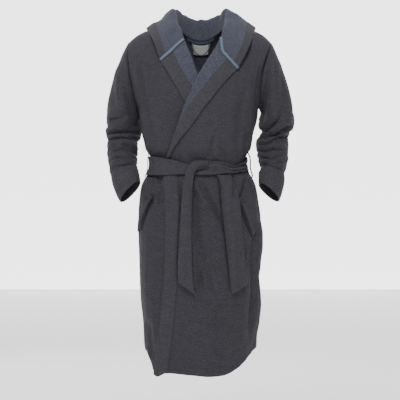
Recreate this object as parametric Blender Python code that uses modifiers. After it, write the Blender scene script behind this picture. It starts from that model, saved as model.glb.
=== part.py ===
"""A hooded wrap bathrobe in heavy knitted cloth, in the shape it has when worn and tied.

Metres, +Z up, the wearer faces -Y and the wearer's left is +X. The origin is the middle of the
neck opening at the height of the shoulder seams, where a wearer or a hanger holds the robe up.
Every piece of cloth is an open sheet on the robe's own form, given its thickness by Solidify.
"""

import bisect
import math

import bmesh
import bpy
from mathutils import Vector

# Driving dimensions
CLOTH = 0.0026  # thickness of the knitted cloth
DOUBLED = 0.0042  # bands, belt and cuffs are two layers
SEAM_GAP = 0.0012  # left free between pieces that meet at a seam
BAND_WIDTH = 0.047
TAPE_WIDTH = 0.010
BELT_WIDTH = 0.056
LAYER = 0.0052  # from the middle of one layer to the middle of the next on top of it

HEM_FRONT, HEM_SIDE, HEM_BACK = -1.204, -1.150, -1.150
NECK_DEPTH = 0.064  # how far back the neck opening reaches
SEAM_LEVEL = 0.998  # where front and back stop short of the shoulder seam
UNDERARM = -0.270  # height of the bottom of the armholes
SHOULDER_TIP_X = 0.245
NECK_X = 0.072
WAIST = -0.470  # height of the middle of the belt

# The robe's form: half widths and half depths at heights from hem to shoulder
HALF_WIDTH = [
    (-1.204, 0.190), (-1.080, 0.194), (-0.950, 0.202), (-0.800, 0.209), (-0.690, 0.211), (-0.600, 0.205),
    (-0.530, 0.187), (-0.470, 0.168), (-0.420, 0.172), (-0.360, 0.191), (-0.310, 0.200), (-0.270, 0.203),
]
DEPTH_FRONT = [
    (-1.204, 0.140), (-0.950, 0.138), (-0.700, 0.132), (-0.560, 0.118), (-0.470, 0.106), (-0.400, 0.112),
    (-0.270, 0.122),
]
DEPTH_BACK = [
    (-1.204, 0.132), (-0.950, 0.136), (-0.700, 0.138), (-0.560, 0.118), (-0.470, 0.100), (-0.400, 0.108),
    (-0.270, 0.124),
]
SHOULDER_LINE = [(0.0, 0.004), (0.072, 0.004), (0.140, 0.002), (0.194, -0.008), (0.228, -0.028), (0.245, -0.044)]
ROUNDNESS = 2.3  # exponent of the form's cross-sections: 2 is an ellipse, and more is boxier
ARMHOLE_DEPTH = 0.066  # half the armhole's width from front to back

# Lines on the fronts, as (height, x) in the front view
ROLL_LEFT = [(-0.445, -0.110), (-0.310, -0.069), (-0.169, -0.010), (-0.028, 0.0725), (0.020, 0.074)]
ROLL_RIGHT = [(-0.445, 0.066), (-0.310, 0.040), (-0.169, -0.007), (-0.028, -0.0600), (0.020, -0.072)]
EDGE_LEFT = [(-1.204, -0.157), (-0.950, -0.132), (-0.800, -0.122), (-0.445, -0.118)]
EDGE_RIGHT_X = 0.100

# The arms: share of the way, centre (x, y, z) of the left one, half width and half depth of its section
ARM = [
    (0.30, 0.267, 0.035, -0.275, 0.054, 0.066), (0.42, 0.271, 0.058, -0.318, 0.056, 0.064),
    (0.53, 0.271, 0.064, -0.357, 0.058, 0.060), (0.62, 0.268, 0.052, -0.392, 0.053, 0.055),
    (0.75, 0.262, 0.022, -0.447, 0.048, 0.050), (0.88, 0.256, -0.008, -0.505, 0.043, 0.045),
    (1.00, 0.248, -0.036, -0.566, 0.036, 0.040),
]
SLEEVE_HEAD = 0.30  # share of the way at which the sleeve's head has become a round sleeve
ELBOW_START, ELBOW_END, CUFF_START = 0.38, 0.66, 0.885

FRONT, BACK = -1, 1
LEFT, RIGHT = 1, -1  # the wearer's left is +X

for old in list(bpy.data.objects):
    bpy.data.objects.remove(old)
robe = bpy.data.collections.new("bathrobe")
cutters = bpy.data.collections.new("cutters")
for group in (robe, cutters):
    bpy.context.scene.collection.children.link(group)


def material(name, colour, roughness):
    made = bpy.data.materials.new(name)
    made.use_nodes = True
    shader = made.node_tree.nodes["Principled BSDF"]
    shader.inputs["Base Color"].default_value = (*colour, 1)
    shader.inputs["Roughness"].default_value = roughness
    shader.inputs["Metallic"].default_value = 0
    return made


CHARCOAL = material("charcoal_knit", (0.060, 0.058, 0.070), 0.92)
MELANGE = material("blue_grey_melange", (0.085, 0.088, 0.115), 0.95)
TEAL = material("teal_tape", (0.115, 0.160, 0.205), 0.80)
LABEL = material("woven_label", (0.62, 0.62, 0.60), 0.70)


def smooth(t):
    t = min(max(t, 0.0), 1.0)
    return t * t * (3 - 2 * t)


def mix(a, b, t):
    return a + (b - a) * t


def fair(stations, at):
    """The value at a place on a smooth curve through (place, value) stations, in rising order."""
    places = [place for place, _ in stations]
    k = min(max(bisect.bisect_right(places, at) - 1, 0), len(places) - 2)
    (x0, y0), (x1, y1) = stations[k], stations[k + 1]
    step = x1 - x0
    slope = (y1 - y0) / step
    first, last = k == 0, k == len(places) - 2
    leave = slope if first else (y1 - stations[k - 1][1]) / (x1 - stations[k - 1][0])
    arrive = slope if last else (stations[k + 2][1] - y0) / (stations[k + 2][0] - x0)
    t = min(max((at - x0) / step, 0.0), 1.0)
    bend = step * ((t**3 - 2 * t**2 + t) * leave + (t**3 - t**2) * arrive)
    return mix(y0, y1, smooth(t)) + bend


# The form: across runs from -1 to 1 between the side seams, up from 0 at the hem to 1 at the shoulder
ARM_LEVEL = 0.74  # share of the way up at which the armholes begin


def sideways(across):
    return math.copysign(abs(math.sin(math.pi / 2 * across)) ** (2 / ROUNDNESS), across)


def across_of(share):
    """The place across the form whose x is this share of the half width."""
    return math.copysign(math.asin(min(abs(share), 1.0) ** (ROUNDNESS / 2)) * 2 / math.pi, share)


def ridge(x):
    """Height of the shoulder line."""
    return fair(SHOULDER_LINE, abs(x))


def hem(across, face):
    lowest = HEM_FRONT if face == FRONT else HEM_BACK
    return mix(HEM_SIDE, lowest, math.cos(math.pi / 2 * across) ** 1.2 if abs(across) < 1 else 0.0)


def form(across, up, face):
    """A point on the robe's form, with no allowance for layers."""
    share = sideways(across)
    round_off = max(math.cos(math.pi / 2 * across), 0.0) ** (2 / ROUNDNESS)
    depths = DEPTH_FRONT if face == FRONT else DEPTH_BACK
    if up <= ARM_LEVEL:
        z = mix(hem(across, face), UNDERARM, up / ARM_LEVEL)
        return Vector((share * fair(HALF_WIDTH, z), face * fair(depths, z) * round_off, z))
    rise = (up - ARM_LEVEL) / (1 - ARM_LEVEL) * math.pi / 2
    half_width = mix(fair(HALF_WIDTH, UNDERARM), SHOULDER_TIP_X, smooth(math.sin(rise) ** 2))
    x = share * half_width
    z = mix(UNDERARM, ridge(x), math.sin(rise))
    depth = fair(depths, UNDERARM) * round_off * math.cos(rise) ** 0.85
    armhole = ARMHOLE_DEPTH * math.sin(2 * rise) ** 0.8 if rise < math.pi / 2 else 0.0
    return Vector((x, face * (depth + armhole * abs(share) ** 6), z))


def on_form(across, up, face, offset=0.0):
    """A point on the form, moved out along its normal."""
    step = 0.004
    a0, a1 = max(across - step, -1), min(across + step, 1)
    u0, u1 = max(up - step, 0), min(up + step, 1 - 1e-6)
    sideways_run = form(a1, up, face) - form(a0, up, face)
    upward_run = form(across, u1, face) - form(across, u0, face)
    normal = sideways_run.cross(upward_run).normalized()
    return form(across, up, face) + normal * offset * -face


def up_of(z, across=0.3):
    """The share of the way up at which the form reaches a height."""
    if z <= UNDERARM:
        return ARM_LEVEL * (z - hem(across, FRONT)) / (UNDERARM - hem(across, FRONT))
    top = ridge(sideways(across) * SHOULDER_TIP_X)
    return ARM_LEVEL + (1 - ARM_LEVEL) * math.asin(min((z - UNDERARM) / (top - UNDERARM), 1)) * 2 / math.pi


def at_front(x, z, offset=0.0):
    """The point of the fronts that shows at (x, z) in the front view."""
    across = 0.3
    for _ in range(4):
        up = up_of(z, across)
        width = form(1, min(up, 1), FRONT).x
        across = across_of(x / width)
    return on_form(across, min(up, 1), FRONT, offset)


def solid(name, rows, thickness, colour, closed=False):
    """A sheet through rows of points, with thickness. A closed sheet's rows join end to end."""
    mesh = bpy.data.meshes.new(name)
    shape = bmesh.new()
    points = [[shape.verts.new(p) for p in row] for row in rows]
    for low, high in zip(points, points[1:]):
        last = len(low) if closed else len(low) - 1
        for k in range(last):
            n = (k + 1) % len(low)
            shape.faces.new((low[k], low[n], high[n], high[k]))
    bmesh.ops.recalc_face_normals(shape, faces=shape.faces)
    shape.to_mesh(mesh)
    shape.free()
    mesh.shade_smooth()
    mesh.set_sharp_from_angle(angle=math.radians(40))
    mesh.materials.append(colour)
    piece = bpy.data.objects.new(name, mesh)
    robe.objects.link(piece)
    wall = piece.modifiers.new("cloth", "SOLIDIFY")
    wall.thickness = thickness
    wall.offset = 0
    wall.use_even_offset = False
    return piece


def steps(start, end, count):
    return [mix(start, end, k / (count - 1)) for k in range(count)]


def side_name(side):
    return "left" if side == LEFT else "right"


SIDE_LIMIT = 0.997  # where the panels stop short of the side seams


# Body panels
def under_lap(across, up):
    """How far the right front lies inside the form, so that the left one can wrap over it."""
    near_centre = smooth((across + 0.95) / 0.35)
    below_neck = smooth((0.97 - up) / 0.10)
    return -2 * LAYER * near_centre * below_neck


def neck_limit(x):
    """How far up the back panel reaches at this x: the neck opening's edge, or the shoulder seam."""
    depth = fair(DEPTH_BACK, UNDERARM) * max(1 - abs(x / 0.2) ** ROUNDNESS, 0) ** (1 / ROUNDNESS)
    hole = NECK_DEPTH * math.sqrt(max(1 - (x / (NECK_X + 0.004)) ** 2, 0.0))
    rise = math.acos(min(hole / depth, 1.0) ** (1 / 0.85))
    return mix(ARM_LEVEL, 1, min(rise * 2 / math.pi, SEAM_LEVEL))


def back_point(across, level, offset=0.0):
    """A point of the back: level runs from 0 at the hem through 0.7 at the underarm to 1 at the top edge."""
    if level <= 0.7:
        return on_form(across, level / 0.7 * ARM_LEVEL, BACK, offset)
    limit = neck_limit(sideways(across) * 0.2)
    return on_form(across, mix(ARM_LEVEL, limit, (level - 0.7) / 0.3), BACK, offset)


def back_panel():
    levels = steps(0, 0.47, 9) + steps(0.50, 0.70, 8) + [0.75, 0.80, 0.85, 0.89, 0.93, 0.96, 0.98, 1.0]
    rows = [[back_point(a, level) for a in steps(-SIDE_LIMIT, SIDE_LIMIT, 21)] for level in levels]
    return solid("back_panel", rows, CLOTH, CHARCOAL)


def edge_x(side, z):
    """x of the seam between a front panel and its band, or of the fold of its lapel."""
    if side == LEFT:
        if z > -0.445:
            return fair(ROLL_LEFT, z)
        return fair(EDGE_LEFT, z) + BAND_WIDTH * smooth((-0.445 - z) / 0.02)
    if z > -0.445:
        return fair(ROLL_RIGHT, z)
    return EDGE_RIGHT_X - BAND_WIDTH


BAND_LEVELS = steps(0, 0.50, 10) + [0.527, 0.553, 0.580]  # rows of the fronts that have the band beside them, up to the belt
LAPEL_LEVELS = steps(0.61, ARM_LEVEL, 5) + steps(ARM_LEVEL + 0.04, 0.93, 5) + [0.96, 0.982, 0.9995]


def front_row(side, up, from_x, to_x, count):
    """Points of one row of a front, between two values of x. None stands for the side seam."""
    width = form(1, up, FRONT).x
    start, end = (side * SIDE_LIMIT if x is None else across_of(x / width) for x in (from_x, to_x))
    row = []
    for across in steps(start, end, count):
        offset = under_lap(across, up) if side == RIGHT else 0.0
        row.append(on_form(across, up, FRONT, offset))
    return row


def front_panel(side):
    rows = []
    for up in BAND_LEVELS + LAPEL_LEVELS:
        z = form(0.0, up, FRONT).z
        rows.append(front_row(side, up, edge_x(side, z), None, 14))
    return solid(f"front_panel_{side_name(side)}", rows, CLOTH, CHARCOAL)


def front_band(side):
    """The doubled band down the free edge of a front, from under the belt to the hem."""
    rows = []
    for up in BAND_LEVELS:
        z = form(0.0, up, FRONT).z
        outer = fair(EDGE_LEFT, z) if side == LEFT else EDGE_RIGHT_X
        rows.append(front_row(side, up, outer, edge_x(side, z) - side * 2 * SEAM_GAP, 4))
    return solid(f"front_band_{side_name(side)}", rows, CLOTH, CHARCOAL)


back_panel()
for side in (LEFT, RIGHT):
    front_panel(side)
    front_band(side)


# Sleeves
def loop_point(angle, side):
    """A point of the armhole, from the shoulder tip (0) down the front to the underarm (pi) and up the back."""
    turn = angle / math.pi
    face = FRONT if turn <= 1 else BACK
    up = mix(1 - 1e-6, ARM_LEVEL, turn if turn <= 1 else 2 - turn)
    point = form(side, up, face)
    return point + Vector((side * 0.0035, 0, 0))


def arm_value(share, k):
    return fair([(s[0], s[k]) for s in ARM], share)


def arm_centre(share, side):
    return Vector((side * arm_value(share, 1), arm_value(share, 2), arm_value(share, 3)))


def arm_ring(angle, share, side):
    """A point of the round part of a sleeve: angle 0 is its outer side, and a quarter turn is its front."""
    low, high = max(share - 0.03, SLEEVE_HEAD), min(share + 0.03, 1.0)
    along = (arm_centre(high, side) - arm_centre(low, side)).normalized()
    outward = Vector((side, 0, 0))
    outward = (outward - along * along.dot(outward)).normalized()
    forward = Vector((0, -1, 0))
    forward = forward - along * along.dot(forward)
    forward = (forward - outward * forward.dot(outward)).normalized()
    reach = outward * math.cos(angle) * arm_value(share, 4) + forward * math.sin(angle) * arm_value(share, 5)
    return arm_centre(share, side) + reach


def sleeve_point(angle, share, side):
    if share >= SLEEVE_HEAD:
        return arm_ring(angle, share, side)
    return loop_point(angle, side).lerp(arm_ring(angle, SLEEVE_HEAD, side), share / SLEEVE_HEAD)


def sleeve_part(name, side, start, end, rings, thickness, colour=CHARCOAL, points=18):
    rows = [
        [sleeve_point(2 * math.pi * k / points, share, side) for k in range(points)]
        for share in steps(start, end, rings)
    ]
    return solid(name, rows, thickness, colour, closed=True)


for side in (LEFT, RIGHT):
    name = side_name(side)
    sleeve_part(f"sleeve_{name}_upper", side, 0.0, ELBOW_START, 7, CLOTH)
    sleeve_part(f"sleeve_{name}_elbow", side, ELBOW_START + 0.005, ELBOW_END - 0.005, 6, CLOTH)
    sleeve_part(f"sleeve_{name}_forearm", side, ELBOW_END, CUFF_START - 0.005, 4, CLOTH)
    sleeve_part(f"cuff_{name}", side, CUFF_START, 1.0, 3, DOUBLED)


# Lapels: the fronts' upper edges, turned out over them
OUTER_LEFT = [(-0.445, -0.096), (-0.386, -0.074), (-0.317, -0.021), (-0.224, 0.042), (-0.128, 0.134), (-0.028, 0.196)]
OUTER_RIGHT = [(-0.445, 0.062), (-0.340, 0.014), (-0.255, -0.048), (-0.100, -0.135), (-0.048, -0.166), (-0.014, -0.186)]
LAPEL_TOP = [(0.0, -0.034), (1.0, -0.114)]  # height of the seam with the hood, from the fold to the outer edge


def lapel_point(side, outward, rise, offset):
    """outward runs from 0 at the fold to 1 at the free edge, and rise from 0 at the belt to 1 at the hood seam."""
    z = mix(-0.432, fair(LAPEL_TOP, outward), rise)
    roll, outer = (ROLL_LEFT, OUTER_LEFT) if side == LEFT else (ROLL_RIGHT, OUTER_RIGHT)
    x = mix(fair(roll, z) + side * 0.004, fair(outer, z), outward)
    under = 0.0
    if side == RIGHT:
        up = up_of(z, x / 0.2)
        under = under_lap(across_of(x / form(1, up, FRONT).x), up)
    return at_front(x, z, under + offset)


def band_share(side, rise):
    """The share of a lapel's width at which its band begins."""
    width = (lapel_point(side, 1, rise, 0) - lapel_point(side, 0, rise, 0)).length
    return max(1 - BAND_WIDTH / width, 0.10)


def lapel(side):
    rows, band_rows = [], []
    for rise in steps(0, 0.985, 13):
        seam = band_share(side, rise)
        gap = 0.5 * SEAM_GAP / BAND_WIDTH
        rows.append([lapel_point(side, t, rise, LAYER) for t in steps(0, seam - gap, 5)])
        band_rows.append([lapel_point(side, t, rise, LAYER) for t in steps(seam + gap, 1, 4)])
    solid(f"lapel_{side_name(side)}", rows, CLOTH, MELANGE)
    solid(f"lapel_band_{side_name(side)}", band_rows, CLOTH, CHARCOAL)


for side in (LEFT, RIGHT):
    lapel(side)


# Hood, laid back: profiles from the neck seam over the crest, down and up again to the rim
HOOD = {
    0.00: [(0, 0.069, 0.010), (0, 0.088, 0.044), (0, 0.130, -0.060), (0, 0.165, -0.205), (0, 0.205, -0.120),
           (0, 0.182, -0.010)],
    0.22: [(0.045, 0.056, 0.012), (0.052, 0.076, 0.056), (0.078, 0.122, -0.030), (0.105, 0.152, -0.140),
           (0.125, 0.176, -0.080), (0.108, 0.160, 0.004)],
    0.45: [(0.075, 0.024, 0.013), (0.085, 0.034, 0.064), (0.118, 0.068, 0.046), (0.150, 0.102, -0.040),
           (0.174, 0.112, -0.022), (0.176, 0.096, 0.014)],
    0.72: [(0.080, -0.016, 0.013), (0.090, -0.012, 0.056), (0.114, -0.006, 0.052), (0.142, 0.000, 0.038),
           (0.165, 0.002, 0.028), (0.188, 0.000, 0.011)],
}
HOOD_SPLIT = 0.24  # between the pouch, which lifts, and the parts on the shoulders
HOOD_FRONT = {  # (x, z) of the same points where the hood lies on the fronts
    0.86: [(0.075, -0.008), (0.090, -0.012), (0.108, -0.022), (0.126, -0.032), (0.145, -0.044), (0.168, -0.058)],
    1.00: [(0.071, -0.026), (0.084, -0.042), (0.097, -0.058), (0.110, -0.074), (0.124, -0.090), (0.138, -0.106)],
}


def hood_point(s, t):
    """s runs from -1 at the right lapel round the back of the neck to 1, and t from the neck to the rim."""
    knots = []
    for k in range(6):
        x, y, z = HOOD[0.22][k]
        rows = [(-0.22, (-x, y, z))] + [(place, HOOD[place][k]) for place in sorted(HOOD)]
        rows += [(place, tuple(at_front(*HOOD_FRONT[place][k], lift))) for place, lift in ((0.86, 0.015), (1.0, 0.008))]
        knots.append([fair([(place, row[i]) for place, row in rows], abs(s)) for i in range(3)])
    levels = [0.0, 0.16, 0.42, 0.66, 0.84, 1.0]
    x, y, z = (fair(list(zip(levels, [k[i] for k in knots])), t) for i in range(3))
    return Vector((math.copysign(x, s) if s else 0.0, y, z))


HOOD_BAND_AT = 0.80


def hood_part(name, s_start, s_end, t_start, t_end, count, rows, thickness, colour):
    grid = [[hood_point(s, t) for s in steps(s_start, s_end, count)] for t in steps(t_start, t_end, rows)]
    return solid(name, grid, thickness, colour)


hood_part("hood_pouch", -HOOD_SPLIT, HOOD_SPLIT, 0, HOOD_BAND_AT - 0.004, 11, 15, CLOTH, CHARCOAL)
hood_part("hood_band_pouch", -HOOD_SPLIT, HOOD_SPLIT, HOOD_BAND_AT + 0.012, 1, 11, 4, DOUBLED, CHARCOAL)
for side in (LEFT, RIGHT):
    name, near, far = side_name(side), side * (HOOD_SPLIT + 0.015), side
    hood_part(f"hood_wing_{name}", near, far, 0, HOOD_BAND_AT - 0.01, 12, 13, CLOTH, MELANGE)
    hood_part(f"hood_band_{name}", near, far, HOOD_BAND_AT + 0.01, 1, 12, 4, CLOTH, CHARCOAL)


# Belt, in a half knot with two hanging tails
BELT_OUT = 0.0090  # from the form to the middle of the belt
KNOT_X = -0.017


def level_of(across, z, face=FRONT):
    """The share of the way up at which the form below the armholes reaches a height."""
    return ARM_LEVEL * (z - hem(across, face)) / (UNDERARM - hem(across, face))


def round_waist(offset, z_low, z_high, rows, count=22):
    """Rows of a strip that goes all the way round the waist."""
    made = []
    for z in steps(z_low, z_high, rows):
        ring = [(a, FRONT) for a in steps(-0.99, 0.99, count)] + [(a, BACK) for a in steps(0.99, -0.99, count)]
        row = [on_form(a, level_of(a, z, face), face, offset) for a, face in ring]
        for point in row:
            point.z = z
        made.append(row)
    return made


def belt_waist():
    half = BELT_WIDTH / 2
    solid("belt_waist", round_waist(BELT_OUT, WAIST - half, WAIST + half, 4), DOUBLED, CHARCOAL, closed=True)


def belt_knot():
    """The turn of the belt that holds the crossing: a band round the waist part."""
    rows = []
    for x in steps(KNOT_X - 0.018, KNOT_X + 0.018, 4):
        row = []
        for k in range(16):
            turn = 2 * math.pi * k / 16
            rise = math.copysign(abs(math.sin(turn)) ** 0.6, math.sin(turn)) * 0.0345
            behind = at_front(x, WAIST + rise, 0.0036).y
            ahead = at_front(x, WAIST, BELT_OUT + 0.0085).y
            share = 0.5 + 0.5 * math.copysign(abs(math.cos(turn)) ** 0.6, math.cos(turn))
            row.append(Vector((x, mix(behind, ahead, share), WAIST + rise)))
        rows.append(row)
    solid("belt_knot", rows, 0.0026, CHARCOAL, closed=True)


def belt_tail(name, stations):
    """A hanging tail: stations are (height, left edge, right edge)."""
    rows = []
    for z, x_low, x_high in stations:
        row = []
        for t in steps(0, 1, 5):
            x = mix(x_low, x_high, t)
            point = at_front(x, min(z, -0.505), 0.0105)
            row.append(Vector((x, point.y - 0.0025 * math.sin(math.pi * t), z)))
        rows.append(row)
    rows[-1] = [p + Vector((0, 0, -0.012 * k / 4 if name.endswith("right") else 0.012 * k / 4)) for k, p in enumerate(rows[-1])]
    solid(name, rows, DOUBLED, CHARCOAL)


TAIL_RIGHT = [(-0.509, -0.050, -0.022), (-0.560, -0.056, -0.028), (-0.620, -0.066, -0.034), (-0.700, -0.072, -0.034),
              (-0.780, -0.076, -0.033), (-0.850, -0.078, -0.029), (-0.902, -0.079, -0.024)]
TAIL_LEFT = [(-0.509, 0.052, 0.098), (-0.560, 0.066, 0.116), (-0.620, 0.074, 0.130), (-0.700, 0.083, 0.140),
             (-0.780, 0.092, 0.148), (-0.850, 0.100, 0.155), (-0.902, 0.106, 0.160)]
belt_waist()
belt_knot()
belt_tail("belt_tail_right", TAIL_RIGHT)
belt_tail("belt_tail_left", TAIL_LEFT)


def thread(name, points, radius, colour):
    """A round cord through points."""
    curve = bpy.data.curves.new(name, "CURVE")
    curve.dimensions = "3D"
    curve.bevel_depth = radius
    curve.bevel_resolution = 1
    curve.use_fill_caps = True
    line = curve.splines.new("POLY")
    line.points.add(len(points) - 1)
    for spot, point in zip(line.points, points):
        spot.co = (*point, 1)
    curve.materials.append(colour)
    piece = bpy.data.objects.new(name, curve)
    robe.objects.link(piece)
    return piece


for side in (LEFT, RIGHT):
    arch = [(0, 0.040), (0.004, 0.041), (0.012, 0.034), (0.0175, 0.012), (0.0175, -0.012), (0.012, -0.036),
            (0.006, -0.044), (0.001, -0.046)]
    points = [(side * (fair(HALF_WIDTH, WAIST + rise) + 0.0040 + out), 0.0, WAIST + rise) for out, rise in arch]
    thread(f"belt_loop_{side_name(side)}", points, 0.0012, CHARCOAL)


# Pockets: a slanted mouth near each side seam, a bag behind it and a welt along its rear edge
POCKET_MOUTH = [(0.565, -0.585), (0.860, -0.700)]  # (across, height) of its two ends
POCKET_GAPE = 0.0075


def pocket_frame(q, side, line):
    """Middle of a line on the form at a share of its length, with the directions along it, outward and across it."""
    (a0, z0), (a1, z1) = line

    def spot(share, offset=0.0):
        across, z = side * mix(a0, a1, share), mix(z0, z1, share)
        under = under_lap(across, level_of(across, z)) if side == RIGHT else 0.0
        return on_form(across, level_of(across, z), FRONT, offset + under)

    middle = spot(q)
    along = (spot(min(q + 0.05, 1)) - spot(max(q - 0.05, 0))).normalized()
    out = (spot(q, 0.004) - middle).normalized()
    inward = along.cross(out).normalized()
    if inward.x * side > 0:
        inward.negate()
    return middle, along, out, inward


def flat_ring(side, line, out_by, tilt, gape, stretch=1.0, count=20):
    """A flattened ring round a line on the form. tilt turns its thin way from along the form to out of it."""
    ring = []
    for k in range(count):
        turn = 2 * math.pi * k / count
        q = 0.5 + 0.5 * math.copysign(abs(math.cos(turn)) ** 0.8, math.cos(turn)) * stretch
        middle, _, out, inward = pocket_frame(q, side, line)
        thin = inward * math.cos(tilt) + out * math.sin(tilt)
        ring.append(middle + out * out_by + thin * math.sin(turn) * gape)
    return ring


POCKET_BAG = [  # from the mouth to the bottom: line, distance out of the form, tilt, half gape
    (((0.565, -0.585), (0.860, -0.700)), -0.0040, 0.0, POCKET_GAPE),
    (((0.555, -0.588), (0.850, -0.704)), -0.0120, 0.7, POCKET_GAPE),
    (((0.510, -0.597), (0.800, -0.718)), -0.0155, 1.45, POCKET_GAPE),
    (((0.470, -0.620), (0.740, -0.748)), -0.0155, 1.57, 0.0070),
    (((0.450, -0.660), (0.680, -0.780)), -0.0155, 1.57, 0.0060),
    (((0.450, -0.710), (0.610, -0.805)), -0.0155, 1.57, 0.0040),
]


def pocket(side):
    name = side_name(side)
    rings = [flat_ring(side, *ring) for ring in POCKET_BAG]
    solid(f"pocket_bag_{name}", rings, 0.0012, CHARCOAL, closed=True)
    welt = []
    for q in steps(0.0, 1.0, 9):
        middle, _, out, inward = pocket_frame(q, side, POCKET_MOUTH)
        welt.append([middle + out * 0.0050 - inward * d for d in (POCKET_GAPE + 0.001, 0.013, 0.018)])
    solid(f"pocket_welt_{name}", welt, CLOTH, CHARCOAL)
    cutter = solid(f"mouth_cutter_{name}",
                   [flat_ring(side, POCKET_MOUTH, d, 0.0, POCKET_GAPE - 0.001, 0.96) for d in (-0.010, 0.010)],
                   0.0, CHARCOAL, closed=True)
    cutter.modifiers.clear()
    cap_ends(cutter.data)
    robe.objects.unlink(cutter)
    cutters.objects.link(cutter)
    cutter.hide_render = True
    cutter.display_type = "WIRE"
    cut = bpy.data.objects[f"front_panel_{name}"].modifiers.new("pocket_mouth", "BOOLEAN")
    cut.operation = "DIFFERENCE"
    cut.solver = "EXACT"
    cut.object = cutter


def cap_ends(mesh):
    shape = bmesh.new()
    shape.from_mesh(mesh)
    bmesh.ops.holes_fill(shape, edges=shape.edges)
    bmesh.ops.recalc_face_normals(shape, faces=shape.faces)
    shape.to_mesh(mesh)
    shape.free()


for side in (LEFT, RIGHT):
    pocket(side)


# Neck finish, hanging loop and labels
def neck_tape(side):
    rows = []
    for t in steps(0.02, 0.97, 7):
        low, high = lapel_point(side, t, 0.955, LAYER + 0.0036), hood_point(side * 0.985, t)
        across = (high - low).normalized()
        middle = (low + high) / 2 + Vector((0, -0.0042, 0.002))
        rows.append([middle + across * TAPE_WIDTH / 2, middle - across * TAPE_WIDTH / 2])
    solid(f"neck_tape_{side_name(side)}", rows, 0.0010, TEAL)


def inside_back(x, below, offset):
    """A point inside the back, a distance below the neck seam."""
    across = across_of(x / 0.2)
    point = back_point(across, 1.0)
    for _ in range(6):
        level = 0.7 + 0.3 * (1 - below / 0.27)
        point = back_point(across, level, offset)
    return point


for side in (LEFT, RIGHT):
    neck_tape(side)
solid("neck_tape_back", [[inside_back(x, b, -0.0055) for x in steps(-0.042, 0.042, 11)] for b in (0.006, 0.016)], 0.0010, TEAL)
solid("neck_label", [[inside_back(x, b, -0.0055) for x in steps(-0.024, 0.024, 5)] for b in (0.020, 0.036, 0.053)], 0.0008, LABEL)


def hang_loop():
    top = inside_back(0.0, 0.014, -0.0095)
    points = []
    for k in range(13):
        turn = math.pi * k / 12
        points.append(top + Vector((0.030 * math.cos(turn), -0.002 - 0.004 * math.sin(turn), 0.002 - 0.042 * math.sin(turn))))
    thread("hang_loop", points, 0.0022, TEAL)


hang_loop()
side_z = -0.62
solid("care_label", [[Vector((0.2, 0, side_z)) + Vector((-0.006 - 0.002 * k, y, -0.02 * k)) for y in (-0.018, 0, 0.018)] for k in range(4)],
      0.0006, LABEL)


# Where the moving pieces turn: each one's origin lies on its hinge
SHOULDER_HINGE = (0.2468, 0.0, -0.0410)
ELBOW_HINGE = (0.271, 0.064, -0.357)
HOOD_HINGE = (0.0, 0.066, 0.004)
TAIL_HINGE_Z = -0.507


def hinge_at(name, point):
    """Moves a piece's origin without moving the piece."""
    piece = bpy.data.objects[name]
    point = Vector(point)
    if piece.type == "MESH":
        for vertex in piece.data.vertices:
            vertex.co -= point
    else:
        for spot in piece.data.splines[0].points:
            spot.co = (*(spot.co.xyz - point), 1)
    piece.location = point


for side in (LEFT, RIGHT):
    name = side_name(side)
    x, y, z = SHOULDER_HINGE
    hinge_at(f"sleeve_{name}_upper", (side * x, y, z))
    x, y, z = ELBOW_HINGE
    hinge_at(f"sleeve_{name}_forearm", (side * x, y, z))
    hinge_at(f"cuff_{name}", (side * x, y, z))
    tail = TAIL_LEFT if side == LEFT else TAIL_RIGHT
    tail_x = (tail[0][1] + tail[0][2]) / 2
    hinge_at(f"belt_tail_{name}", (tail_x, at_front(tail_x, -0.505, 0.0105).y, TAIL_HINGE_Z))
hinge_at("hood_pouch", HOOD_HINGE)
hinge_at("hood_band_pouch", HOOD_HINGE)
hinge_at("hang_loop", inside_back(0.0, 0.014, -0.0095) + Vector((0, -0.002, 0.002)))
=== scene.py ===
"""A hooded wrap bathrobe of soft knitted cloth, worn shape, tied with its own belt.

It runs from top to bottom, one section for each piece or group of like pieces. Metres, +Z up.
The robe faces -Y, and the wearer's left is +X.
"""

import math

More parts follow.
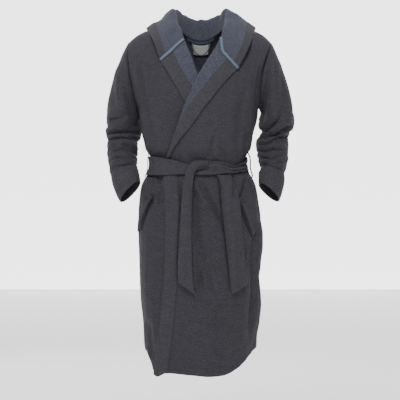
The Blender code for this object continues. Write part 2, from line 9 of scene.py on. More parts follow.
import bmesh
import bpy
import numpy as np
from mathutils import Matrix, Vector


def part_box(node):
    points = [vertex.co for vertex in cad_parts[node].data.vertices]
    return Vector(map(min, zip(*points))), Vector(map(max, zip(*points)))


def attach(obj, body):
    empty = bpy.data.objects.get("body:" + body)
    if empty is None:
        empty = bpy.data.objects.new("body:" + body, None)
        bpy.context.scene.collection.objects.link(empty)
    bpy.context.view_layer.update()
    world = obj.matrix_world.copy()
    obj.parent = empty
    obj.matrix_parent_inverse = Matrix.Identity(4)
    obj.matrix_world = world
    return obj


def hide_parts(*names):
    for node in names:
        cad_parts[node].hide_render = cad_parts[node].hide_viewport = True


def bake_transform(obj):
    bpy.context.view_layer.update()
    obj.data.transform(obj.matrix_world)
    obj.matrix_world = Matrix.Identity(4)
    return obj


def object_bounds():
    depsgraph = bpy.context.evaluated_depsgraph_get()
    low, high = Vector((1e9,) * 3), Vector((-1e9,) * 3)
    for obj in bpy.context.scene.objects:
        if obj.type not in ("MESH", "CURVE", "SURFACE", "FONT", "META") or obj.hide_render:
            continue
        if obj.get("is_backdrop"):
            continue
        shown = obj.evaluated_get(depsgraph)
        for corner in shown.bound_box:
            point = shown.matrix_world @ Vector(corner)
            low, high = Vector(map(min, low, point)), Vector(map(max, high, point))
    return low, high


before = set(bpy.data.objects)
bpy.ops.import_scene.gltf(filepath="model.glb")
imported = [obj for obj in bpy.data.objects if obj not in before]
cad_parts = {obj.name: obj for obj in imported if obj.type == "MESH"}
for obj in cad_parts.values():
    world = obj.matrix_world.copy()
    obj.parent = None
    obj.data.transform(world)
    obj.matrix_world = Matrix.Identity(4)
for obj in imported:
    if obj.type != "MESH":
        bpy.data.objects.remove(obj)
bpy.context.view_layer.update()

# ---------------------------------------------------------------------------
# Camera, floor and light
# A level view of the whole robe, in a white studio with broad soft lights.
# ---------------------------------------------------------------------------
camera_data = bpy.data.cameras.new("camera")
camera_data.sensor_width = 36
camera_data.lens = 117.4
camera = bpy.data.objects.new("camera", camera_data)
camera.location = (-0.0035, -4.57, -0.593)
camera.rotation_euler = (math.radians(90), 0, 0)
bpy.context.scene.collection.objects.link(camera)
bpy.context.scene.camera = camera

STUDIO_WHITE = (0.93, 0.93, 0.93)
FLOOR_HEIGHT = -1.52
FLOOR_GLOW, BACKDROP_GLOW, ROOM_LIGHT = 0.44, 2.6, 0.30
floor_mesh = bpy.data.meshes.new("floor")
floor_corners = [(-9, -7, FLOOR_HEIGHT), (9, -7, FLOOR_HEIGHT), (9, 9, FLOOR_HEIGHT), (-9, 9, FLOOR_HEIGHT)]
floor_mesh.from_pydata(floor_corners, [], [(0, 1, 2, 3)])
floor = bpy.data.objects.new("floor", floor_mesh)
bpy.context.scene.collection.objects.link(floor)
floor_paint = bpy.data.materials.new("pale_floor")
floor_paint.use_nodes = True
floor_shader = floor_paint.node_tree.nodes["Principled BSDF"]
floor_shader.inputs["Base Color"].default_value = (*STUDIO_WHITE, 1)
floor_shader.inputs["Roughness"].default_value = 0.8
floor_shader.inputs["Emission Color"].default_value = (1, 1, 1, 1)
floor_shader.inputs["Emission Strength"].default_value = FLOOR_GLOW
floor_mesh.materials.append(floor_paint)
floor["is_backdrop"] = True

studio = bpy.data.worlds.new("studio")
studio.use_nodes = True
studio.node_tree.nodes["Background"].inputs["Color"].default_value = (1, 1, 1, 1)
studio.node_tree.nodes["Background"].inputs["Strength"].default_value = ROOM_LIGHT
bpy.context.scene.world = studio


def soft_light(name, place, aim, size, power):
    lamp = bpy.data.lights.new(name, "AREA")
    lamp.shape = "DISK"
    lamp.size = size
    lamp.energy = power
    made = bpy.data.objects.new(name, lamp)
    made.location = place
    towards = np.array(aim, float) - np.array(place, float)
    yaw = math.atan2(towards[0], -towards[1])
    made.rotation_euler = (math.pi / 2 + math.atan2(towards[2], math.hypot(towards[0], towards[1])),
                           0, yaw + math.pi)
    bpy.context.scene.collection.objects.link(made)


soft_light("key", (-0.40, -1.75, 1.55), (0, 0, -0.25), 0.7, 52)
soft_light("fill", (1.4, -2.8, 0.7), (0, 0, -0.3), 1.2, 5)
soft_light("top", (0.2, 0.4, 2.2), (0, 0, -0.3), 1.2, 26)
soft_light("behind", (-1.2, 2.9, 0.6), (0, 0, -0.5), 1.4, 34)

backdrop_mesh = bpy.data.meshes.new("backdrop")
backdrop_mesh.from_pydata([(-14, 9, FLOOR_HEIGHT), (14, 9, FLOOR_HEIGHT), (14, 9, 11), (-14, 9, 11)], [],
                          [(0, 1, 2, 3)])
backdrop = bpy.data.objects.new("backdrop", backdrop_mesh)
bpy.context.scene.collection.objects.link(backdrop)
backdrop_paint = bpy.data.materials.new("lit_backdrop")
backdrop_paint.use_nodes = True
backdrop_shader = backdrop_paint.node_tree.nodes["Principled BSDF"]
backdrop_shader.inputs["Base Color"].default_value = (*STUDIO_WHITE, 1)
backdrop_shader.inputs["Emission Color"].default_value = (1, 1, 1, 1)
backdrop_shader.inputs["Emission Strength"].default_value = BACKDROP_GLOW
backdrop_mesh.materials.append(backdrop_paint)
backdrop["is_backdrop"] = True

# ---------------------------------------------------------------------------
# The cloth
# One double-faced knit: a smooth charcoal melange face outside and a lighter
# blue-grey looped back inside. Bands and belt show the charcoal face only.
# ---------------------------------------------------------------------------


class Socket:
    """A shader socket that takes part in sums, and makes any other node it is asked for."""

    def __init__(self, tree, out):
        self.tree, self.out = tree, out

    def node(self, kind, settings=None, inputs=None, output=0):
        made = self.tree.nodes.new(kind)
        for key, value in (settings or {}).items():
            setattr(made, key, value)
        for key, value in (inputs or {}).items():
            if isinstance(value, Socket):
                self.tree.links.new(value.out, made.inputs[key])
            else:
                made.inputs[key].default_value = value
        return Socket(self.tree, made.outputs[output])

    def maths(self, operation, other, swap=False):
        first, second = (other, self) if swap else (self, other)
        return self.node("ShaderNodeMath", {"operation": operation}, {0: first, 1: second})

    def __add__(self, other):
        return self.maths("ADD", other)

    def __sub__(self, other):
        return self.maths("SUBTRACT", other)

    def __rsub__(self, other):
        return self.maths("SUBTRACT", other, swap=True)

    def __mul__(self, other):
        return self.maths("MULTIPLY", other)

    __radd__, __rmul__ = __add__, __mul__


def noise(cloth, place, scale, detail=2.0, stretch=(1, 1, 1)):
    """Noise over the cloth: scale is in blobs a metre, and stretch squeezes it along the cloth's own ways."""
    at = cloth.node("ShaderNodeMapping", None, {"Vector": place, "Scale": stretch})
    return cloth.node("ShaderNodeTexNoise", None,
                      {"Vector": at, "Scale": scale, "Detail": detail, "Roughness": 0.6})


def tint(cloth, factor, dark, light):
    return cloth.node("ShaderNodeMix", {"data_type": "RGBA"}, {0: factor, 6: (*dark, 1), 7: (*light, 1)},
                      output=2)


def knit(name, dark, light, loops, nap, sheen):
    """Knitted cloth: melange from fibres of two shades, fine wales and courses, and a soft nap."""
    made = bpy.data.materials.new(name)
    made.use_nodes = True
    tree = made.node_tree
    shader = tree.nodes["Principled BSDF"]
    cloth = Socket(tree, tree.nodes.new("ShaderNodeUVMap").outputs[0])
    fibres = noise(cloth, cloth, 420, 3.0, (1.0, 0.42, 1))
    flecks = noise(cloth, cloth, 1150, 2.0, (1.0, 0.6, 1))
    clouds = noise(cloth, cloth, 46, 3.0)
    wash = noise(cloth, cloth, 7, 2.0)
    shade = fibres * 0.62 + flecks * 0.30 + clouds * 0.12 + wash * 0.06
    contrast = cloth.node("ShaderNodeMapRange", {"clamp": True}, {0: shade, 1: 0.44, 2: 0.70, 3: 0.0, 4: 1.0})
    tree.links.new(tint(cloth, contrast, dark, light).out, shader.inputs["Base Color"])
    rough = cloth.node("ShaderNodeMapRange", None, {0: fibres, 1: 0.3, 2: 0.7, 3: 0.98, 4: 0.84})
    tree.links.new(rough.out, shader.inputs["Roughness"])
    shader.inputs["Sheen Weight"].default_value = sheen
    shader.inputs["Sheen Roughness"].default_value = 0.45
    shader.inputs["Sheen Tint"].default_value = (*[min(1.0, 2.2 * v + 0.25) for v in light], 1)
    shader.inputs["Specular IOR Level"].default_value = 0.22
    bed = cloth.node("ShaderNodeMapping", None, {"Vector": cloth, "Scale": (loops, loops * 0.8, 1)})
    wales = cloth.node("ShaderNodeTexWave", {"wave_type": "BANDS", "bands_direction": "X"},
                       {"Vector": bed, "Scale": 1.0, "Distortion": 3.0, "Detail": 2.0, "Detail Scale": 2.0},
                       output=1)
    height = wales * 0.5 + flecks * 0.7 + fibres * 0.6
    fine = cloth.node("ShaderNodeBump", None, {"Height": height, "Strength": 0.5, "Distance": nap})
    tree.links.new(fine.out, shader.inputs["Normal"])
    return made


CHARCOAL = knit("charcoal_knit", (0.026, 0.025, 0.031), (0.066, 0.064, 0.076), 210, 0.0011, 0.12)
MELANGE = knit("blue_grey_loops", (0.032, 0.033, 0.048), (0.098, 0.101, 0.138), 150, 0.0016, 0.16)
BAND_KNIT = knit("band_knit", (0.030, 0.029, 0.035), (0.072, 0.070, 0.082), 230, 0.0009, 0.12)


def grid_normals(grid, around=False):
    """Unit normals of a grid of points, rows by columns. around says that its columns close into a ring."""
    if around:
        wide = np.concatenate([grid[:, -1:], grid, grid[:, :1]], axis=1)
        across = (wide[:, 2:] - wide[:, :-2])
    else:
        across = np.gradient(grid, axis=1)
    along = np.gradient(grid, axis=0)
    normal = np.cross(across, along)
    return normal / np.maximum(np.linalg.norm(normal, axis=2, keepdims=True), 1e-12)


def cloth_piece(name, grid, thickness, face, back=None, around=False, flip=False, body=None,
                butt=(), normals=None):
    """A piece of cloth with thickness and rounded edges, through a grid of points at its middle.

    face is the material on the side its normals leave, and back the one on the other side. butt names
    the end rows, 0 or -1, that are cut square because the cloth goes on in the next piece.
    """
    grid = np.asarray(grid, float)
    thick = np.broadcast_to(np.asarray(thickness, float), grid.shape[:2])
    if flip:
        grid, thick = grid[:, ::-1], thick[:, ::-1]
    if normals is None:
        normals = grid_normals(grid, around)
    outer, inner = grid + normals * thick[..., None] / 2, grid - normals * thick[..., None] / 2
    rows, cols = grid.shape[:2]
    number = np.arange(rows * cols).reshape(rows, cols)
    under = number + rows * cols
    right = np.roll(number, -1, axis=1) if around else number[:, 1:]
    left = number if around else number[:, :-1]
    shift = rows * cols
    top = np.stack([left[:-1], right[:-1], right[1:], left[1:]], axis=-1).reshape(-1, 4)
    low = np.stack([left[:-1], left[1:], right[1:], right[:-1]], axis=-1).reshape(-1, 4) + shift
    faces, kinds = [top, low], [np.zeros(len(top)), np.ones(len(low))]
    points = [outer.reshape(-1, 3), inner.reshape(-1, 3)]
    if around:
        borders = [([(0, c) for c in range(cols)][::-1], (1, 0)),
                   ([(rows - 1, c) for c in range(cols)], (-1, 0))]
    else:
        ring = [(0, c) for c in range(cols)] + [(r, cols - 1) for r in range(1, rows)]
        ring += [(rows - 1, c) for c in range(cols - 2, -1, -1)] + [(r, 0) for r in range(rows - 2, 0, -1)]
        borders = [(ring[::-1], None)]
    for ring, towards in borders:
        at = np.array(ring)
        here = grid[at[:, 0], at[:, 1]]
        if towards:
            beside = at + np.array(towards)
        else:
            beside = np.clip(at, [1 if rows > 2 else 0, 1 if cols > 2 else 0],
                             [rows - 2 if rows > 2 else rows - 1, cols - 2 if cols > 2 else cols - 1])
        away = here - grid[beside[:, 0], beside[:, 1]]
        away /= np.maximum(np.linalg.norm(away, axis=1, keepdims=True), 1e-9)
        top_ring, low_ring = number[at[:, 0], at[:, 1]], under[at[:, 0], at[:, 1]]
        square = towards and ((towards[0] == 1 and 0 in butt) or (towards[0] == -1 and -1 in butt))
        if square:
            chains = [(top_ring, low_ring)]
        else:
            start = sum(len(p) for p in points)
            points.append(here + away * thick[at[:, 0], at[:, 1]][:, None] * 0.42)
            middle = start + np.arange(len(ring))
            chains = [(top_ring, middle), (middle, low_ring)]
        for one, other in chains:
            faces.append(np.stack([one, np.roll(one, -1), np.roll(other, -1), other], axis=-1))
            kinds.append(np.full(len(one), 2 if square else 0))
    faces, kinds = np.concatenate(faces), np.concatenate(kinds)
    mesh = bpy.data.meshes.new(name)
    mesh.from_pydata(np.concatenate(points).tolist(), [], faces.tolist())
    mesh.materials.append(face)
    mesh.materials.append(back or face)
    mesh.polygons.foreach_set("material_index", (kinds == 1).astype(np.int32))
    mesh.polygons.foreach_set("use_smooth", kinds < 2)
    over = np.concatenate([np.zeros((rows, 1)),
                           np.cumsum(np.linalg.norm(np.diff(grid, axis=1), axis=2), axis=1)], axis=1)
    over = np.repeat(over.mean(axis=0)[None], rows, axis=0)
    down = np.concatenate([np.zeros((1, cols)),
                           np.cumsum(np.linalg.norm(np.diff(grid, axis=0), axis=2), axis=0)], axis=0)
    down = np.repeat(down.mean(axis=1)[:, None], cols, axis=1)
    flat = np.stack([over, down], axis=2).reshape(-1, 2)
    rim = sum(len(p) for p in points) - 2 * rows * cols
    edge_uv = flat[np.arange(rim) % len(flat)] if rim else np.zeros((0, 2))
    everywhere = np.concatenate([flat, flat, edge_uv])
    layer = mesh.uv_layers.new(name="cloth")
    corner = np.empty(len(mesh.loops), np.int32)
    mesh.loops.foreach_get("vertex_index", corner)
    layer.data.foreach_set("uv", everywhere[corner].reshape(-1).astype(np.float32))
    mesh.update()
    made = bpy.data.objects.new(name, mesh)
    bpy.context.scene.collection.objects.link(made)
    if body:
        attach(made, body)
    return made


# ---------------------------------------------------------------------------
# The worn shape
# Where the cloth of the trunk and skirt lies, with its folds, as a map from
# (across, up) on the front and on the back. Every piece is laid on this.
# ---------------------------------------------------------------------------
UNDERARM, ARM_LEVEL = -0.27, 0.74
ROUNDNESS = 2.3
FRONT, BACK = -1, 1
LEFT_HALF_WIDTH = [
    (-1.20, 0.191), (-1.118, 0.1925), (-1.055, 0.196), (-1.013, 0.201), (-0.950, 0.203), (-0.890, 0.199),
    (-0.855, 0.197), (-0.810, 0.203), (-0.770, 0.210), (-0.677, 0.210), (-0.610, 0.203), (-0.558, 0.1925),
    (-0.512, 0.173), (-0.485, 0.157), (-0.446, 0.155), (-0.404, 0.168), (-0.362, 0.182), (-0.3375, 0.189),
    (-0.299, 0.196), (-0.270, 0.200), (-0.236, 0.203), (-0.180, 0.207), (-0.134, 0.213), (-0.103, 0.222),
    (-0.060, 0.238), (0.02, 0.247),
]
RIGHT_HALF_WIDTH = [
    (-1.20, 0.192), (-1.125, 0.196), (-1.083, 0.1995), (-1.013, 0.203), (-0.950, 0.210), (-0.890, 0.2135),
    (-0.782, 0.217), (-0.677, 0.2195), (-0.610, 0.217), (-0.558, 0.210), (-0.512, 0.191), (-0.485, 0.177),
    (-0.446, 0.175), (-0.404, 0.1925), (-0.362, 0.2065), (-0.3375, 0.210), (-0.299, 0.214), (-0.270, 0.221),
    (-0.236, 0.229), (-0.151, 0.2445), (-0.103, 0.2495), (-0.060, 0.250), (0.02, 0.250),
]
FRONT_DEPTH = [
    (-1.204, 0.134), (-0.950, 0.136), (-0.700, 0.130), (-0.560, 0.118), (-0.470, 0.104), (-0.400, 0.110),
    (-0.270, 0.121),
]
BACK_DEPTH = [
    (-1.204, 0.126), (-0.950, 0.133), (-0.720, 0.137), (-0.560, 0.116), (-0.470, 0.099), (-0.400, 0.106),
    (-0.270, 0.123),
]
SHOULDER_LINE = [(0.0, 0.004), (0.072, 0.004), (0.140, 0.003), (0.194, -0.005), (0.228, -0.024),
                 (0.250, -0.044)]
FRONT_HEM = [
    (-1.0, -1.112), (-0.954, -1.120), (-0.920, -1.142), (-0.867, -1.174), (-0.833, -1.187), (-0.624, -1.184),
    (-0.190, -1.189), (0.210, -1.194), (0.478, -1.185), (0.744, -1.151), (0.940, -1.116), (1.0, -1.104),
]
BACK_HEM = [(-1.0, -1.112), (-0.5, -1.128), (0.0, -1.132), (0.5, -1.126), (1.0, -1.104)]
NECK_X, NECK_DEPTH, ARMHOLE_DEPTH = 0.076, 0.064, 0.066


def fair(stations, at):
    """Values on a smooth curve through (place, value) stations, for an array of places."""
    at = np.asarray(at, float)
    x, y = np.array(stations, float).T
    k = np.clip(np.searchsorted(x, at, side="right") - 1, 0, len(x) - 2)
    slope = np.gradient(y, x)
    step = x[k + 1] - x[k]
    t = np.clip((at - x[k]) / step, 0, 1)
    soft = t * t * (3 - 2 * t)
    return (y[k] * (1 - soft) + y[k + 1] * soft
            + step * ((t**3 - 2 * t**2 + t) * slope[k] + (t**3 - t**2) * slope[k + 1]))


def smooth(t):
    t = np.clip(t, 0, 1)
    return t * t * (3 - 2 * t)


def sideways(across):
    return np.sign(across) * np.abs(np.sin(math.pi / 2 * across)) ** (2 / ROUNDNESS)


def worn_form(across, up, side):
    """The trunk and skirt without folds."""
    share = sideways(across)
    round_off = np.maximum(np.cos(math.pi / 2 * across), 0) ** (2 / ROUNDNESS)
    hem = fair(FRONT_HEM if side == FRONT else BACK_HEM, share)
    rise = np.clip((up - ARM_LEVEL) / (1 - ARM_LEVEL), 0, 1) * math.pi / 2
    low = hem + (UNDERARM - hem) * np.clip(up / ARM_LEVEL, 0, 1)
    high = UNDERARM + (fair(SHOULDER_LINE, np.abs(share) * 0.25) - UNDERARM) * np.sin(rise)
    z = np.where(up <= ARM_LEVEL, low, high)
    width = np.where(across > 0, fair(LEFT_HALF_WIDTH, z), fair(RIGHT_HALF_WIDTH, z))
    depth = fair(FRONT_DEPTH if side == FRONT else BACK_DEPTH, np.minimum(z, UNDERARM)) * round_off
    depth = (depth * np.maximum(np.cos(rise), 0) ** 0.85
             + ARMHOLE_DEPTH * np.abs(np.sin(2 * rise)) ** 0.8 * np.abs(share) ** 6)
    return np.stack([share * width, side * depth, z], axis=-1)


def along_line(x, z, line):
    """Signed distance of points from a line of points, and the share of the line's length beside each."""
    line = np.array(line, float)
    lengths = np.linalg.norm(np.diff(line, axis=0), axis=1)
    total, done = lengths.sum(), 0.0
    best = np.full(np.shape(x), 9.0)
    signed, share = best.copy(), np.zeros_like(best)
    for (x0, z0), (x1, z1), length in zip(line, line[1:], lengths):
        ux, uz = (x1 - x0) / length, (z1 - z0) / length
        along = (x - x0) * ux + (z - z0) * uz
        t = np.clip(along, 0, length)
        gap = np.hypot(x - x0 - t * ux, z - z0 - t * uz)
        closer = gap < best
        best = np.where(closer, gap, best)
        side = np.sign((x - x0) * uz - (z - z0) * ux)
        signed = np.where(closer, side * gap, signed)
        share = np.where(closer, (done + t) / total, share)
        done += length
    return signed, share


def creased(x, z, folds, gain):
    """How far folds move the cloth out: each is a depth, a width, which side its ridge is on, and its line."""
    out = np.zeros(np.shape(x))
    for depth, width, lean, line in folds:
        gap, share = along_line(x, z, line)
        fade = smooth(share / 0.18) * smooth((1 - share) / 0.30)
        valley = np.exp(-((gap / width) ** 2))
        ridge = np.exp(-(((gap - lean * 1.9 * width) / (1.5 * width)) ** 2))
        out += gain * depth * fade * (0.60 * ridge - valley)
    return out


# Folds below and above the belt: depth, width, the side its ridge is on, and its line in x and z.
FRONT_FOLDS = [
    (0.0065, 0.0085, 1, [(-0.016, -0.508), (0.010, -0.556), (0.044, -0.617), (0.078, -0.675), (0.086, -0.72)]),
    (0.0062, 0.0110, 1, [(-0.026, -0.520), (-0.021, -0.600), (-0.016, -0.695), (-0.0068, -0.770),
                         (-0.0034, -0.899), (0.0, -0.98)]),
    (0.0030, 0.0080, 1, [(-0.0034, -0.745), (0.0136, -0.824), (0.0374, -0.882), (0.055, -0.93)]),
    (0.0050, 0.0070, -1, [(-0.0714, -0.503), (-0.0646, -0.559), (-0.0697, -0.678), (-0.0782, -0.804),
                          (-0.08, -0.90)]),
    (0.0050, 0.0080, -1, [(0.0544, -0.503), (0.0697, -0.552), (0.0748, -0.627), (0.0884, -0.729),
                          (0.102, -0.882)]),
    (0.0042, 0.0060, 1, [(0.1054, -0.503), (0.1088, -0.560), (0.109, -0.60)]),
    (0.0050, 0.0070, 1, [(0.153, -0.510), (0.142, -0.555), (0.128, -0.60)]),
    (0.0055, 0.0095, -1, [(0.190, -0.650), (0.1768, -0.8038), (0.1836, -0.899), (0.1734, -0.994),
                          (0.160, -1.10)]),
    (0.0045, 0.0065, 1, [(-0.170, -0.508), (-0.153, -0.559), (-0.142, -0.60)]),
    (0.0045, 0.0060, 1, [(-0.1496, -0.503), (-0.1394, -0.569), (-0.137, -0.62)]),
    (0.0035, 0.0120, 1, [(-0.187, -1.00), (-0.172, -1.09), (-0.160, -1.17)]),
    (0.0030, 0.0220, 1, [(0.060, -0.93), (0.070, -1.04), (0.055, -1.17)]),
    (0.0045, 0.0110, -1, [(-0.214, -0.110), (-0.197, -0.219), (-0.1734, -0.355), (-0.1564, -0.45)]),
    (0.0025, 0.0100, -1, [(-0.187, -0.107), (-0.1666, -0.202), (-0.158, -0.26)]),
    (0.0011, 0.0022, 1, [(-0.0748, -0.370), (-0.0748, -0.400), (-0.072, -0.43), (-0.070, -0.47)]),
    (0.0025, 0.0140, 1, [(0.150, -0.200), (0.130, -0.330), (0.120, -0.45)]),
    (0.0030, 0.0080, 1, [(0.060, -0.400), (0.075, -0.440), (0.100, -0.452)]),
    (0.0050, 0.0100, -1, [(0.2074, -0.120), (0.1972, -0.202), (0.1904, -0.304), (0.180, -0.36)]),
    (0.0032, 0.0080, 1, [(0.150, -0.452), (0.152, -0.410), (0.160, -0.36)]),
    (0.0030, 0.0070, 1, [(0.030, -0.452), (0.036, -0.410), (0.052, -0.36)]),
]
BACK_FOLDS = [
    (0.0060, 0.0110, 1, [(-0.110, -0.506), (-0.118, -0.66), (-0.100, -0.86), (-0.110, -1.05)]),
    (0.0050, 0.0100, -1, [(-0.045, -0.506), (-0.052, -0.62), (-0.040, -0.80)]),
    (0.0060, 0.0110, 1, [(0.020, -0.506), (0.016, -0.68), (0.030, -0.90), (0.022, -1.08)]),
    (0.0055, 0.0100, -1, [(0.085, -0.506), (0.094, -0.64), (0.088, -0.84)]),
    (0.0050, 0.0090, 1, [(0.140, -0.506), (0.150, -0.62), (0.152, -0.80), (0.146, -1.0)]),
    (0.0055, 0.0090, 1, [(-0.155, -0.506), (-0.168, -0.64), (-0.160, -0.84)]),
    (0.0050, 0.0090, 1, [(-0.095, -0.440), (-0.105, -0.37), (-0.140, -0.27)]),
    (0.0045, 0.0090, -1, [(-0.030, -0.440), (-0.028, -0.36), (-0.050, -0.28)]),
    (0.0050, 0.0090, 1, [(0.040, -0.440), (0.044, -0.36), (0.030, -0.25)]),
    (0.0050, 0.0090, -1, [(0.110, -0.440), (0.120, -0.36), (0.160, -0.26)]),
    (0.0050, 0.0130, 1, [(-0.215, -0.13), (-0.190, -0.24), (-0.165, -0.36)]),
    (0.0050, 0.0130, -1, [(0.215, -0.13), (0.190, -0.24), (0.165, -0.36)]),
]


FOLD_GAIN, FOLD_LIMIT = 2.5, 0.0125


def drape(points, across, side):
    """Soft waves down the skirt, and the blouse of cloth over the belt."""
    z = points[..., 2]
    fall = smooth((-0.52 - z) / 0.55)
    phase = 0.7 if side == FRONT else 2.1
    waves = ((np.sin(across * 7.3 + phase + z * 1.3) + 0.7 * np.sin(across * 12.1 - phase * 2 + z * 2.1))
             * (0.0028 * fall))
    waves *= 1 - 0.5 * smooth((np.abs(across) - 0.8) / 0.2)
    blouse = 0.0055 * np.exp(-(((z + 0.415) / 0.024) ** 2)) + 0.0045 * np.exp(-(((z + 0.532) / 0.026) ** 2))
    small = 0.0010 * np.sin(across * 31 + z * 40) * np.sin(z * 55 - across * 17)
    return waves + blouse + small * smooth((UNDERARM + 0.2 - z) / 0.1 + 1)


ACROSS = np.linspace(-1, 1, 161)
UP = np.concatenate([np.linspace(0, ARM_LEVEL, 131), np.linspace(ARM_LEVEL, 1, 56)[1:]])
laid_points, laid_normals = {}, {}
for side, folds in ((FRONT, FRONT_FOLDS), (BACK, BACK_FOLDS)):
    a, u = np.meshgrid(ACROSS, UP)
    bare = worn_form(a, u, side)
    out = grid_normals(bare) * -side
    hold = smooth((1.0 - np.abs(a)) / 0.10) * smooth((1.0 - u) / 0.10)
    folded = FOLD_LIMIT * np.tanh(creased(bare[..., 0], bare[..., 2], folds, FOLD_GAIN) / FOLD_LIMIT)
    lift = (folded + drape(bare, a, side)) * hold
    worn = bare + out * lift[..., None]
    laid_points[side] = worn
    laid_normals[side] = grid_normals(worn) * -side


def on_grid(field, across, up):
    """Bilinear reading of a field over (across, up)."""
    i = np.clip(np.interp(up, UP, np.arange(len(UP))), 0, len(UP) - 1.001)
    j = np.clip((np.asarray(across) + 1) / 2 * (len(ACROSS) - 1), 0, len(ACROSS) - 1.001)
    i0, j0 = i.astype(int), j.astype(int)
    fi, fj = (i - i0)[..., None], (j - j0)[..., None]
    return ((field[i0, j0] * (1 - fj) + field[i0, j0 + 1] * fj) * (1 - fi)
            + (field[i0 + 1, j0] * (1 - fj) + field[i0 + 1, j0 + 1] * fj) * fi)


def laid(side, across, up, lift=0.0):
    """Points of the cloth's place on one side, lifted off it along its normal."""
    across, up = np.broadcast_arrays(np.asarray(across, float), np.asarray(up, float))
    lift = np.broadcast_to(np.asarray(lift, float), across.shape)
    normal = on_grid(laid_normals[side], across, up)
    normal = normal / np.linalg.norm(normal, axis=-1, keepdims=True)
    return on_grid(laid_points[side], across, up) + normal * lift[..., None]


def across_and_up(x, z, side=FRONT):
    """Where on one side the cloth shows at (x, z)."""
    x, z = np.broadcast_arrays(np.asarray(x, float), np.asarray(z, float))
    across = np.clip(x / 0.22, -0.97, 0.97)
    up = np.clip((z + 1.19) / 1.24, 0.002, 0.99)
    for _ in range(14):
        here = on_grid(laid_points[side], across, up)
        beside = on_grid(laid_points[side], across + 0.01, up)
        above = on_grid(laid_points[side], across, up + 0.01)
        xa, za = (beside - here)[..., 0] / 0.01, (beside - here)[..., 2] / 0.01
        xu, zu = (above - here)[..., 0] / 0.01, (above - here)[..., 2] / 0.01
        dx, dz = x - here[..., 0], z - here[..., 2]
        det = xa * zu - xu * za
        det = np.where(np.abs(det) < 1e-4, 1e-4, det)
        across = np.clip(across + np.clip((dx * zu - xu * dz) / det, -0.12, 0.12), -0.995, 0.995)
        up = np.clip(up + np.clip((xa * dz - dx * za) / det, -0.08, 0.08), 0.0, 0.9999)
    return across, up


def on_front(x, z, lift=0.0):
    across, up = across_and_up(x, z)
    return laid(FRONT, across, up, lift)


# ---------------------------------------------------------------------------
# Back panel
# One piece of the charcoal knit from hem to neck, sewn to the fronts down the
# sides and along the shoulders.
# ---------------------------------------------------------------------------
KNIT_THICKNESS = 0.0030
LAYER = 0.0050
SIDE_EDGE = 0.9975


def seam_dip(distance, depth=0.0014, width=0.004):
    """How far cloth sinks towards a seam this far away."""
    return -depth * np.exp(-((np.asarray(distance) / width) ** 2))


back_across = np.concatenate([np.linspace(-SIDE_EDGE, -0.9, 9)[:-1], np.linspace(-0.9, 0.9, 109),
                              np.linspace(0.9, SIDE_EDGE, 9)[1:]])
level = np.linspace(0, 1, 175)
x_guess = sideways(back_across) * 0.25
back_depth = 0.123 * np.maximum(np.cos(math.pi / 2 * back_across), 0) ** (2 / ROUNDNESS)
hole = NECK_DEPTH * np.sqrt(np.maximum(1 - (x_guess / NECK_X) ** 2, 0))
top_rise = np.arccos(np.minimum(hole / np.maximum(back_depth, 1e-6), 1) ** (1 / 0.85)) * 2 / math.pi
top_level = ARM_LEVEL + (1 - ARM_LEVEL) * np.minimum(top_rise, 0.997)
up_rows = np.where(level[:, None] <= 0.7, level[:, None] / 0.7 * ARM_LEVEL,
                   ARM_LEVEL + (top_level[None] - ARM_LEVEL) * (level[:, None] - 0.7) / 0.3)
dip = seam_dip((SIDE_EDGE - np.abs(back_across)) * 0.05)[None] * (up_rows < ARM_LEVEL)
back_grid = laid(BACK, np.broadcast_to(back_across, up_rows.shape), up_rows, dip)
back_panel = cloth_piece("back_cloth", back_grid, KNIT_THICKNESS, CHARCOAL, MELANGE, flip=True, body="robe")
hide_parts("back_panel")

# ---------------------------------------------------------------------------
# Fronts
# Two panels of the same knit. The left one wraps over the right one, and both
# stop at the seam of the doubled band that runs down the free edge.
# ---------------------------------------------------------------------------
BAND = 0.047
LEFT_ROLL = [
    (-0.470, -0.121), (-0.4502, -0.1156), (-0.389, -0.0952), (-0.3176, -0.0714), (-0.2462, -0.0442),
    (-0.1714, -0.0102), (-0.1204, 0.0204), (-0.083, 0.0442), (-0.0354, 0.068), (0.02, 0.078),
]
RIGHT_ROLL = [(-0.470, 0.080), (-0.360, 0.052), (-0.250, 0.020), (-0.1714, -0.0102), (-0.1374, -0.0238),
              (-0.100, -0.0374), (-0.0388, -0.0612), (0.02, -0.076)]
LEFT_EDGE = [(-1.1846, -0.1615), (-1.120, -0.153), (-1.0486, -0.1445), (-0.933, -0.1326), (-0.8174, -0.1241),
             (-0.729, -0.1207), (-0.593, -0.1207), (-0.5114, -0.1275), (-0.470, -0.121)]
RIGHT_EDGE_X = 0.095
BELT_LINE = -0.472


def under_left(x, z):
    """How far the right front sinks as it goes under the left one's edge."""
    edge = np.where(z < BELT_LINE, fair(LEFT_EDGE, z), fair(LEFT_ROLL, z))
    deep = np.where(z < BELT_LINE - 0.02, 0.0066, 0.0105)
    return -deep * smooth((x - edge + 0.085) / 0.085)


def front_levels(z_at_middle):
    """The share of the way up at which the middle of the front reaches each height."""
    line = on_grid(laid_points[FRONT], np.zeros_like(UP), UP)[:, 2]
    return np.interp(z_at_middle, line, UP)


